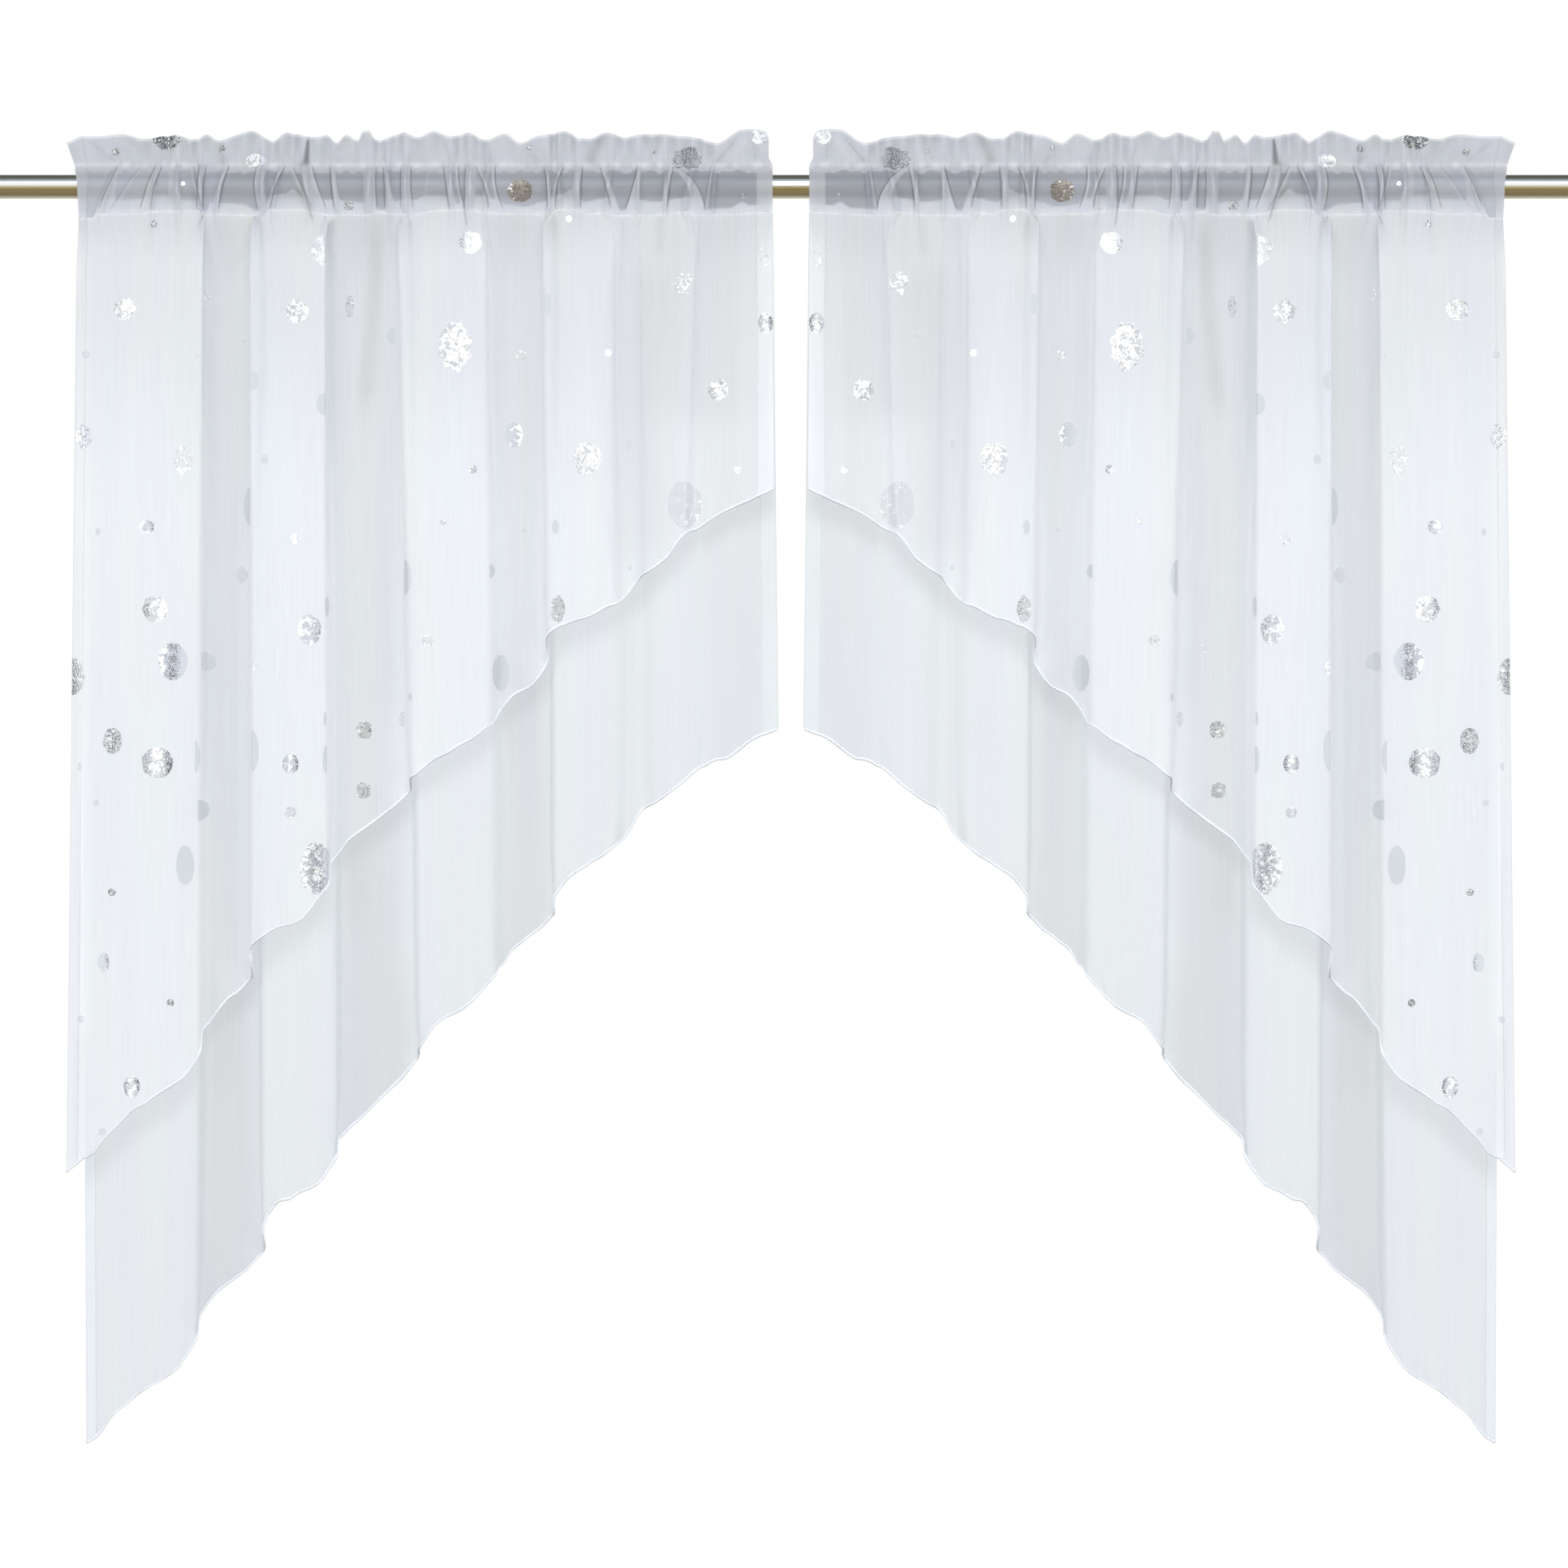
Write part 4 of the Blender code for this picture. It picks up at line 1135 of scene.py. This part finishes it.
def front_reader(lengths):
    """A function from a place across and a height, both in millimetres, to the front cloth's point."""
    def read(across, height):
        across = min(max(across, 0.0), WIDTH_MM)
        column = read_column(FRONT, lengths, across)
        tall = height * MM
        if tall > TOP_SEAM:
            share = (tall - TOP_SEAM) / (column.edge - TOP_SEAM)
            return header_point(FRONT, column, min(share, 1.0)), share <= 1.0
        if tall > BOTTOM_SEAM:
            return pocket_point(FRONT, column, tall), True
        hem = hem_drop(FRONT, lengths, column)
        drop = BOTTOM_SEAM - tall
        return body_point(FRONT, column, min(drop, hem), hem), drop <= hem
    return read


def shown_strip(reader, middle, reach, height):
    """The strip of cloth that shows round a place: (distance from the outer side, place across) pairs."""
    samples = []
    for step in range(int(2 * (reach + DOT_SEARCH) / DOT_STEP) + 1):
        across = middle - reach - DOT_SEARCH + step * DOT_STEP
        if 0 <= across <= WIDTH_MM:
            point = reader(across, height)[0]
            samples.append((point.x / MM, point.y / MM, across))
    near = [sample for sample in samples if abs(sample[0] - middle) < DOT_NEAR]
    if not near:
        near = [min(samples, key=lambda sample: abs(sample[0] - middle))]
    low = high = samples.index(min(near, key=lambda sample: sample[1]))
    while high + 1 < len(samples) and samples[high + 1][0] > samples[high][0] + LEAST_STEP:
        high += 1
    while low > 0 and samples[low - 1][0] < samples[low][0] - LEAST_STEP:
        low -= 1
    return [(shown, across) for shown, depth, across in samples[low : high + 1]]


def place_on(strip, shown):
    """The place across on a strip, held at its ends, for a distance from the outer side."""
    if shown <= strip[0][0]:
        return strip[0][1]
    for before, after in zip(strip, strip[1:]):
        if after[0] >= shown:
            return between(before[1], after[1], (shown - before[0]) / (after[0] - before[0]))
    return strip[-1][1]


def dot_faces(rings):
    """Faces of a round of rings about a middle point, the first in a fan and the rest in quads."""
    faces = [(0, 1 + step, 1 + (step + 1) % DOT_SIDES) for step in range(DOT_SIDES)]
    for inner in range(1, 1 + (rings - 1) * DOT_SIDES, DOT_SIDES):
        outer = inner + DOT_SIDES
        for step in range(DOT_SIDES):
            following = (step + 1) % DOT_SIDES
            faces.append((inner + step, outer + step, outer + following, inner + following))
    return faces


def dot_mesh(dot, reader, seed):
    """Places, faces and finishes of one dot, in the curtain's own frame."""
    look = LOOKS[dot.look]
    half = dot.tall / 2
    strips = [shown_strip(reader, dot.across, dot.wide / 2, dot.height + half * part) for part in (-1, 0, 1)]
    rings = max(3, int(max(dot.wide, dot.tall) * MM / 2 / DOT_RING))
    places = []
    finishes = []
    inside = []
    for ring in range(rings + 1):
        for step in range(DOT_SIDES if ring else 1):
            angle = 2 * math.pi * step / DOT_SIDES
            rim = Vector((math.cos(angle), math.sin(angle), seed))
            ragged = 1 + look.ragged * (noise.noise(rim * LOBES) + TEETH_SHARE * noise.noise(rim * TEETH))
            sideways = math.cos(angle) * ring / rings * ragged
            upward = math.sin(angle) * ring / rings * ragged
            shown = dot.across + sideways * dot.wide / 2
            if dot.cut:
                travel = dot.wide * (1 + sideways * dot.cut)
                shown = dot.across + dot.cut * (min(travel, dot.wide) - dot.wide / 2)
            nearer = strips[2] if upward > 0 else strips[0]
            across = between(place_on(strips[1], shown), place_on(nearer, shown), min(abs(upward), 1.0))
            point, there = reader(across, dot.height + upward * half)
            crease = Vector((sideways * dot.wide, upward * dot.tall, 0)) / DOT_CRINKLE_SIZE
            lift = DOT_LIFT - DOT_CRINKLE * noise.noise(crease + Vector((0, 0, seed)))
            places.append(point - Vector((0, lift, 0)))
            finishes.append((look.colour, *[part_way(kind, sideways) for kind in look[1:4]]))
            inside.append(there)
    kept = []
    for face in dot_faces(rings):
        wide = max(places[corner].x for corner in face) - min(places[corner].x for corner in face)
        if all(inside[corner] for corner in face) and wide > LEAST_FACE:
            kept.append(face)
    return places, kept, finishes


def add_dots(side_name, side, dots, material):
    places = []
    faces = []
    finishes = []
    for made, joined, finished in dots:
        start = len(places)
        places += [in_place(side, point) for point in made]
        turned = [face[::-1] if side > 0 else face for face in joined]
        faces += [tuple(start + corner for corner in face) for face in turned]
        finishes += finished
    piece = new_piece(f"{side_name}_foil_dots", places, faces, material)
    colours, creased, lit, printed = zip(*finishes)
    set_colours(piece.data, "foil", colours)
    for name, values in (("creased", creased), ("lit", lit), ("printed", printed)):
        set_numbers(piece.data, name, values)
    return piece


# Materials

class Value:
    """The output of a node, which can be added to, taken from and multiplied by others and by numbers."""

    def __init__(self, nodes, socket):
        self.nodes = nodes
        self.socket = socket

    def __add__(self, other):
        return self.nodes.math("ADD", self, other)

    def __sub__(self, other):
        return self.nodes.math("SUBTRACT", self, other)

    def __rsub__(self, other):
        return self.nodes.math("SUBTRACT", other, self)

    def __mul__(self, other):
        return self.nodes.math("MULTIPLY", self, other)


class Nodes:
    """A short way to make and join the nodes of a material or of the world."""

    def __init__(self, owner):
        self.owner = owner
        owner.use_nodes = True
        self.tree = owner.node_tree
        self.tree.nodes.clear()

    def add(self, kind, links=None, settings=None, output=0, **inputs):
        """A new node's output. links: the values that its inputs take. inputs: their constant numbers."""
        node = self.tree.nodes.new(kind)
        node.location = (180 * len(self.tree.nodes), 0)
        for key, value in (settings or {}).items():
            setattr(node, key, value)
        for key, value in inputs.items():
            self.socket(node, key.replace("_", " ")).default_value = value
        for key, source in (links or {}).items():
            self.tree.links.new(source.socket, self.socket(node, key))
        return Value(self, node.outputs[output]) if node.outputs else None

    def socket(self, node, key):
        """An input by name or number. A Mix node has one of each name for every kind of value."""
        if node.bl_idname != "ShaderNodeMix":
            return node.inputs[key]
        kinds = {"Factor": "VALUE", "A": "RGBA", "B": "RGBA"}
        return next(found for found in node.inputs if found.name == key and found.type == kinds[key])

    def math(self, operation, first, second=0.0):
        node = self.tree.nodes.new("ShaderNodeMath")
        node.location = (180 * len(self.tree.nodes), -200)
        node.operation = operation
        for socket, value in zip(node.inputs, (first, second)):
            if isinstance(value, Value):
                self.tree.links.new(value.socket, socket)
            else:
                socket.default_value = value
        return Value(self, node.outputs[0])

    def attribute(self, name, output="Fac"):
        return self.add("ShaderNodeAttribute", settings={"attribute_name": name}, output=output)

    def noise(self, where, scale, detail, **inputs):
        return self.add("ShaderNodeTexNoise", {"Vector": where}, Scale=scale, Detail=detail, **inputs)

    def clamped(self, value):
        return self.add("ShaderNodeClamp", {"Value": value})

    def spread(self, value, low, high):
        """A 0 to 1 value spread to another range."""
        return self.add("ShaderNodeMapRange", {"Value": value}, To_Min=low, To_Max=high)

    def scaled(self, colour, factor):
        """A colour times a number."""
        return self.add("ShaderNodeVectorMath", {0: colour, "Scale": factor}, {"operation": "SCALE"})

    def ramp(self, value, stops):
        """The colour for a value, blended between (value, colour) stops."""
        made = self.add("ShaderNodeValToRGB", {"Fac": value})
        elements = made.socket.node.color_ramp.elements
        for element, (position, colour) in zip(elements, (stops[0], stops[-1])):
            element.position = position
            element.color = (*colour, 1.0)
        for position, colour in stops[1:-1]:
            elements.new(position).color = (*colour, 1.0)
        return made

    def finished(self, shader, kind="ShaderNodeOutputMaterial"):
        """The material or world itself, with the shader as its surface."""
        self.add(kind, {"Surface": shader})
        return self.owner


# The voile's streaks along its warp: their width and length, how far they shade the dye and how far they
# change its density. THROUGH: the share of the light that the cloth lets through from behind.
YARN_SIZE = (1.1 * MM, 60 * MM)
STRIPE_SIZE = (7 * MM, 260 * MM)
STREAK_SHADE = (0.975, 1.025)
STREAK_DENSITY = (-0.03, 0.03)
THROUGH = 0.42


def streaks(nodes, flat, size):
    mapping = nodes.add("ShaderNodeMapping", {"Vector": flat}, Scale=(1 / size[0], 1 / size[1], 1.0))
    return nodes.noise(mapping, 1.0, 1.0, Roughness=0.6)


def voile_material():
    nodes = Nodes(bpy.data.materials.new("voile_sheer"))
    flat = nodes.add("ShaderNodeUVMap", settings={"uv_map": "flat_cloth"})
    yarns = streaks(nodes, flat, YARN_SIZE)
    stripes = streaks(nodes, flat, STRIPE_SIZE)
    shade = nodes.spread(yarns, *STREAK_SHADE) * nodes.spread(stripes, *STREAK_SHADE)
    # The cloth's colour, with the painted shades and highlights of the sheets
    colour = nodes.scaled(nodes.attribute("dye", "Color"), shade)
    cover = nodes.attribute("thickness_of_weave") + nodes.spread(yarns, *STREAK_DENSITY)
    cloth = nodes.add(
        "ShaderNodeBsdfPrincipled",
        {"Base Color": colour},
        Roughness=0.62,
        Specular_IOR_Level=0.25,
        Sheen_Weight=0.12,
        Sheen_Roughness=0.4,
    )
    back_lit = nodes.add("ShaderNodeBsdfTranslucent", {"Color": colour})
    both = nodes.add("ShaderNodeMixShader", {1: cloth, 2: back_lit}, Fac=THROUGH)
    clear = nodes.add("ShaderNodeBsdfTransparent")
    return nodes.finished(nodes.add("ShaderNodeMixShader", {0: cover, 1: clear, 2: both}))


# Painted shade on the underside of hems and stitches: from which slope on, how sharply and how dark
UNDER_FROM = -0.35
UNDER_EDGE = 2.2
UNDER_SHADE = 0.45


def thread_material(name, low, high):
    nodes = Nodes(bpy.data.materials.new(name))
    fuzz = nodes.noise(nodes.add("ShaderNodeTexCoord", output="Object"), 900.0, 3.0)
    normal = nodes.add("ShaderNodeTexCoord", output="Normal")
    slope = nodes.add("ShaderNodeSeparateXYZ", {"Vector": normal}, output="Z")
    # Painted shade: darker where the thread faces down
    under = nodes.clamped((UNDER_FROM - slope) * UNDER_EDGE)
    tint = nodes.ramp(fuzz, ((0.0, low), (1.0, high)))
    colour = nodes.scaled(tint, 1.0 - under * UNDER_SHADE)
    relief = nodes.add("ShaderNodeBump", {"Height": fuzz}, Strength=0.4, Distance=0.2 * MM)
    links = {"Base Color": colour, "Normal": relief}
    return nodes.finished(nodes.add("ShaderNodeBsdfPrincipled", links, Roughness=0.5, Sheen_Weight=0.3))


# The foil's marks, from noise: dark specks and creases that are painted dark reflections, and lit patches
# that are painted white highlights. FROM: the noise where a mark starts on smooth foil. MORE: how much lower
# it starts on foil that is creased or lit all over. EDGE: how sharp its rim is. DARK: how dark it is there.
FINE_SHARE = 0.82
SPECK_FROM = 0.68
SPECK_MORE = 0.31
SPECK_EDGE = 16.0
SPECK_DARK = 0.42
SPECK_DARKER = 0.60
CREASE_EDGE = 26.0
CREASE_DARK = 0.62
CREASE_RISE = 4.0
LIT_FROM = 0.66
LIT_MORE = 0.34
LIT_EDGE = 14.0
LIT_RISE = 8.0


def foil_material():
    """Crumpled silver foil, with painted reflections: thin dark creases, dark specks and white lit patches.
    """
    nodes = Nodes(bpy.data.materials.new("silver_foil"))
    creased = nodes.attribute("creased")
    lit = nodes.attribute("lit")
    where = nodes.add("ShaderNodeTexCoord", output="Object")
    grain = nodes.noise(where, 1050.0, 2.0, Roughness=0.6)
    folds = nodes.noise(where, 170.0, 2.0, Distortion=1.6)
    patches = nodes.noise(where, 230.0, 2.0, Distortion=0.8)
    mottled = grain * FINE_SHARE + folds * (1 - FINE_SHARE)
    # Painted dark reflections: specks and creases darken the foil's colour
    specks = nodes.clamped((mottled - (SPECK_FROM - creased * SPECK_MORE)) * SPECK_EDGE)
    crease = nodes.clamped(1.0 - nodes.math("ABSOLUTE", folds - 0.5) * CREASE_EDGE)
    crease_dark = nodes.clamped(creased * CREASE_RISE) * CREASE_DARK
    speck_dark = creased * SPECK_DARKER + SPECK_DARK
    dark = nodes.math("MAXIMUM", specks * speck_dark, crease * crease_dark)
    # Painted highlights: lit patches turn white and lose their metal
    patch = nodes.clamped((patches - (LIT_FROM - lit * LIT_MORE)) * LIT_EDGE)
    bright = patch * nodes.clamped(lit * LIT_RISE)
    links = {"A": nodes.attribute("foil", "Color"), "Factor": bright}
    shine = nodes.add("ShaderNodeMix", links, {"data_type": "RGBA"}, "Result", B=(1.0, 1.0, 1.0, 1.0))
    metal = nodes.add(
        "ShaderNodeBsdfPrincipled",
        {
            "Base Color": nodes.scaled(shine, 1.0 - dark),
            "Normal": nodes.add("ShaderNodeBump", {"Height": mottled}, Strength=0.5, Distance=0.4 * MM),
            "Metallic": nodes.clamped(lit * (1.0 - bright)),
        },
        Roughness=0.34,
    )
    marks = nodes.math("MAXIMUM", bright, specks)
    left_over = nodes.clamped(nodes.math("MAXIMUM", nodes.attribute("printed"), marks))
    clear = nodes.add("ShaderNodeBsdfTransparent")
    return nodes.finished(nodes.add("ShaderNodeMixShader", {0: left_over, 1: clear, 2: metal}))


# The rod's bands of colour, from 0 at its foot to 1 at its top: its champagne gold with painted reflections,
# a pale rim at its foot, a silver highlight and a dark olive top. And the fine lines of its brushing
ROD_COLOUR_AND_REFLECTIONS = (
    (0.0, (0.75, 0.72, 0.60)),
    (0.07, (0.50, 0.46, 0.34)),
    (0.14, (0.22, 0.165, 0.09)),
    (0.40, (0.33, 0.262, 0.105)),
    (0.47, (0.50, 0.45, 0.30)),
    (0.56, (0.66, 0.68, 0.66)),
    (0.66, (0.68, 0.72, 0.75)),
    (0.74, (0.46, 0.50, 0.54)),
    (0.80, (0.21, 0.23, 0.24)),
    (0.86, (0.14, 0.145, 0.09)),
    (1.0, (0.11, 0.11, 0.06)),
)
BRUSHING = (6.0, 1400.0, 1400.0)
BRUSHED_SHADE = (0.94, 1.06)


def rod_material():
    """Brushed champagne metal, with olive, silver and gold bands along the rod: painted reflections on its
    gold.
    """
    nodes = Nodes(bpy.data.materials.new("brushed_champagne"))
    where = nodes.add("ShaderNodeTexCoord", output="Object")
    height = nodes.add("ShaderNodeSeparateXYZ", {"Vector": where}, output="Z")
    # Painted reflections and highlight, by the height round the rod
    colour_and_reflections = nodes.ramp(height * (1 / ROD_DIAMETER) + 0.5, ROD_COLOUR_AND_REFLECTIONS)
    lines = nodes.noise(nodes.add("ShaderNodeMapping", {"Vector": where}, Scale=BRUSHING), 1.0, 3.0)
    colour = nodes.scaled(colour_and_reflections, nodes.spread(lines, *BRUSHED_SHADE))
    relief = nodes.add("ShaderNodeBump", {"Height": lines}, Strength=0.15, Distance=0.1 * MM)
    links = {"Base Color": colour, "Normal": relief}
    return nodes.finished(nodes.add("ShaderNodeBsdfPrincipled", links, Metallic=0.8, Roughness=0.38))


# The studio

FLOOR_HEIGHT = -1.38
FLOOR_RADIUS = 1.5
LAMP_TARGET = (0, 0, -0.4)

# Each lamp's name, place, width and height, and power
SOFTBOXES = (
    ("key_above", (0, -2.2, 1.5), (1.4, 0.9), 28),
    ("fill_left", (-2.0, -2.4, 0.1), (1.2, 1.8), 20),
    ("fill_right", (2.0, -2.4, 0.1), (1.2, 1.8), 20),
    ("back_panel", (0, 2.2, -0.3), (3.0, 2.2), 36),
)


def add_floor():
    bpy.ops.mesh.primitive_circle_add(
        vertices=96, radius=FLOOR_RADIUS, fill_type="NGON", location=(0, 0, FLOOR_HEIGHT)
    )
    floor = bpy.context.object
    floor.name = "studio_floor"
    nodes = Nodes(bpy.data.materials.new("pale_floor"))
    shader = nodes.add("ShaderNodeBsdfPrincipled", Base_Color=(0.86, 0.86, 0.85, 1.0), Roughness=0.7)
    floor.data.materials.append(nodes.finished(shader))


def add_world():
    """White behind the object, and a softer grey all round for its light."""
    nodes = Nodes(bpy.data.worlds.new("studio"))
    light = nodes.add("ShaderNodeBackground", Color=(0.95, 0.97, 1.0, 1.0), Strength=0.55)
    seen = nodes.add("ShaderNodeBackground", Color=(1.0, 1.0, 1.0, 1.0), Strength=1.0)
    path = nodes.add("ShaderNodeLightPath", output="Is Camera Ray")
    mix = nodes.add("ShaderNodeMixShader", {0: path, 1: light, 2: seen})
    bpy.context.scene.world = nodes.finished(mix, "ShaderNodeOutputWorld")


def add_softbox(name, place, size, power):
    data = bpy.data.lights.new(name, "AREA")
    data.shape = "RECTANGLE"
    data.size = size[0]
    data.size_y = size[1]
    data.energy = power
    lamp = bpy.data.objects.new(name, data)
    bpy.context.scene.collection.objects.link(lamp)
    lamp.location = place
    lamp.rotation_euler = (Vector(LAMP_TARGET) - Vector(place)).to_track_quat("-Z", "Y").to_euler()
    lamp.visible_camera = False


def add_studio():
    add_floor()
    add_world()
    for softbox in SOFTBOXES:
        add_softbox(*softbox)


def add_camera():
    data = bpy.data.cameras.new("camera")
    data.lens = CAMERA_LENS
    data.sensor_width = CAMERA_SENSOR
    camera = bpy.data.objects.new("camera", data)
    bpy.context.scene.collection.objects.link(camera)
    distance = PICTURE_WIDTH * CAMERA_LENS / CAMERA_SENSOR
    camera.location = (PICTURE_CENTRE[0], -distance, PICTURE_CENTRE[1])
    camera.rotation_euler = (math.radians(90), 0, 0)
    bpy.context.scene.camera = camera


def flat_size(sheet):
    """The flat cloth's width, its longest length and its area with the slanted cut."""
    layer = sheet.layer
    width = sheet.lengths[-1] + SIDE_ALLOWANCE
    above = HEADER_EDGE[0][1] * MM + END_ALLOWANCE
    lift = (layer.lift_outer + layer.lift_inner) / 4
    area = width * (above - (layer.hem_outer + layer.hem_inner) / 2 - lift)
    return (width, above - layer.hem_outer), area


def add_curtains():
    voile = voile_material()
    thread = thread_material("voile_thread", (0.78, 0.81, 0.86), (0.95, 0.97, 1.0))
    sewing = thread_material("sewing_thread", (0.62, 0.63, 0.67), (0.74, 0.75, 0.80))
    foil = foil_material()
    sheets = {layer.name: read_sheet(layer) for layer in (FRONT, BACK)}
    line = hem_line(sheets["front"])
    # A painted shadow of the front hem on the back panel
    for row in sheets["back"].wide:
        row[:] = [under_hem(entry, line) for entry in row]
    reader = front_reader(sheets["front"].lengths)
    dots = [dot_mesh(dot, reader, DOT_SEED * index) for index, dot in enumerate(DOTS)]
    for side_name, side in (("left", -1), ("right", 1)):
        for sheet in sheets.values():
            panel = add_panel(side_name, side, sheet, voile)
            hem = add_rolled_hem(side_name, side, sheet, thread)
            with_pieces = [hem, add_stitches(side_name, side, sheet, sewing)]
            if sheet.layer is FRONT:
                with_pieces.append(add_dots(side_name, side, dots, foil))
            flat, area = flat_size(sheet)


def dress_rod():
    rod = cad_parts["rod"]
    rod.data.materials.clear()
    rod.data.materials.append(rod_material())


def set_picture():
    scene = bpy.context.scene
    scene.view_settings.view_transform = "Standard"
    scene.cycles.transparent_max_bounces = 24
    scene.cycles.max_bounces = 6
    scene.cycles.diffuse_bounces = 3
    scene.cycles.glossy_bounces = 3
    scene.cycles.transmission_bounces = 3


add_camera()
add_curtains()
dress_rod()
add_studio()
set_picture()
